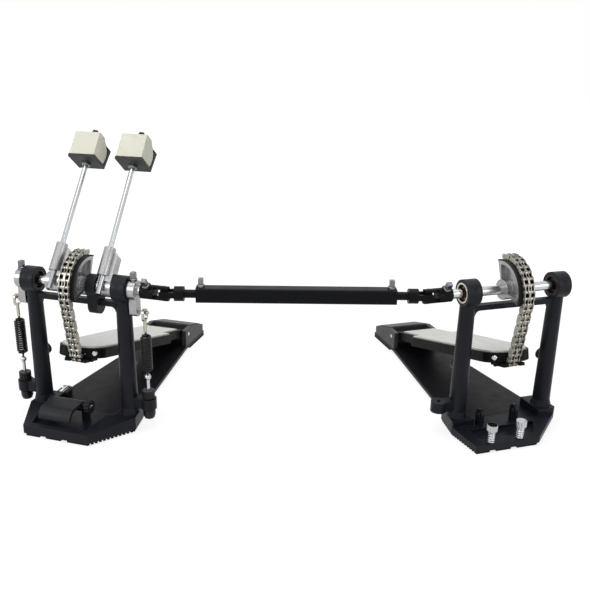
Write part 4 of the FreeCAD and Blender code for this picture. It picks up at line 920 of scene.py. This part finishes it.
def studio_floor():
    form = bmesh.new()
    corners = oblong(-FLOOR_HALF, -FLOOR_HALF, FLOOR_HALF, FLOOR_HALF)
    form.faces.new([form.verts.new((x, y, 0)) for x, y in corners])
    mesh = bpy.data.meshes.new("studio_floor")
    form.to_mesh(mesh)
    form.free()
    floor = bpy.data.objects.new("studio_floor", mesh)
    bpy.context.scene.collection.objects.link(floor)
    floor.location = FLOOR_SPOT
    material = bpy.data.materials.new("floor_white")
    material.use_nodes = True
    tree = material.node_tree
    tree.nodes.clear()
    end = tree.nodes.new("ShaderNodeOutputMaterial")
    gathered = tree.nodes.new("ShaderNodeBsdfDiffuse")
    gathered.inputs["Color"].default_value = GATHERED_GREY
    shaded = tree.nodes.new("ShaderNodeBsdfDiffuse")
    shaded.inputs["Color"].default_value = SHADED_GREY
    glow = tree.nodes.new("ShaderNodeEmission")
    places = tree.nodes.new("ShaderNodeTexCoord")
    away = tree.nodes.new("ShaderNodeVectorMath")
    away.operation = "LENGTH"
    tree.links.new(places.outputs["Object"], away.inputs[0])
    fade = tree.nodes.new("ShaderNodeMapRange")
    for socket, value in (("From Min", FADE_START), ("From Max", FADE_END), ("To Min", FLOOR_GLOW),
                          ("To Max", 1)):
        fade.inputs[socket].default_value = value
    tree.links.new(away.outputs["Value"], fade.inputs["Value"])
    tree.links.new(fade.outputs["Result"], glow.inputs["Strength"])
    seen = tree.nodes.new("ShaderNodeAddShader")
    tree.links.new(shaded.outputs[0], seen.inputs[0])
    tree.links.new(glow.outputs[0], seen.inputs[1])
    choice = tree.nodes.new("ShaderNodeMixShader")
    tree.links.new(light_path_share(tree), choice.inputs[0])
    tree.links.new(gathered.outputs[0], choice.inputs[1])
    tree.links.new(seen.outputs[0], choice.inputs[2])
    tree.links.new(choice.outputs[0], end.inputs["Surface"])
    mesh.materials.append(material)


SKY_LIGHT = 0.2
SKY_WHITE = (1, 1, 1, 1)


def studio_world():
    world = bpy.data.worlds.new("studio")
    bpy.context.scene.world = world
    world.use_nodes = True
    tree = world.node_tree
    sky = tree.nodes["Background"]
    added = maths(tree, "MULTIPLY", light_path_share(tree), 1 - SKY_LIGHT)
    strength = maths(tree, "ADD", added, SKY_LIGHT)
    tree.links.new(strength, sky.inputs["Strength"])
    sky.inputs["Color"].default_value = SKY_WHITE


PART_MIDDLE = Vector((0.26, 0.05, 0.12))
# Each lamp's name, spot, width and depth in metres, and watts
LAMPS = (
    ("overhead", (0.2, 0.1, 1.9), (2.2, 1.6), 26),
    ("key", (-1.4, -1.1, 1.1), (1.0, 1.0), 15),
    ("fill", (1.7, -1.2, 0.9), (1.2, 1.0), 8),
)


def soft_lamp(name, spot, sides, watts):
    lamp = bpy.data.lights.new(name, "AREA")
    lamp.shape = "RECTANGLE"
    lamp.size, lamp.size_y = sides
    lamp.energy = watts
    made = bpy.data.objects.new(name, lamp)
    bpy.context.scene.collection.objects.link(made)
    made.location = spot
    made.rotation_euler = (PART_MIDDLE - Vector(spot)).to_track_quat("-Z", "Y").to_euler()


# The camera that the photograph's perspective gives: the focal length and the middle of view in its pixels
PHOTO_WIDE = 590
FOCAL_PIXELS = 729.7
VIEW_MIDDLE = 273.9
CAMERA_SPOT = (0.2488, -0.8754, 0.4805)
CAMERA_PITCH = 19.117
CAMERA_ROLL = 0.614
SENSOR_WIDE = 36
NEAREST_SEEN = 0.01


def photo_camera():
    lens = bpy.data.cameras.new("photo_camera")
    lens.sensor_fit = "HORIZONTAL"
    lens.sensor_width = SENSOR_WIDE
    lens.lens = FOCAL_PIXELS / PHOTO_WIDE * SENSOR_WIDE
    lens.shift_x = (PHOTO_WIDE / 2 - VIEW_MIDDLE) / PHOTO_WIDE
    lens.clip_start = NEAREST_SEEN
    camera = bpy.data.objects.new("photo_camera", lens)
    bpy.context.scene.collection.objects.link(camera)
    camera.matrix_world = shift(*CAMERA_SPOT) @ turn(QUARTER - CAMERA_PITCH, "X") @ turn(CAMERA_ROLL, "Z")
    bpy.context.scene.camera = camera


studio_floor()
studio_world()
for lamp_row in LAMPS:
    soft_lamp(*lamp_row)
photo_camera()
bpy.context.scene.view_settings.view_transform = "Standard"
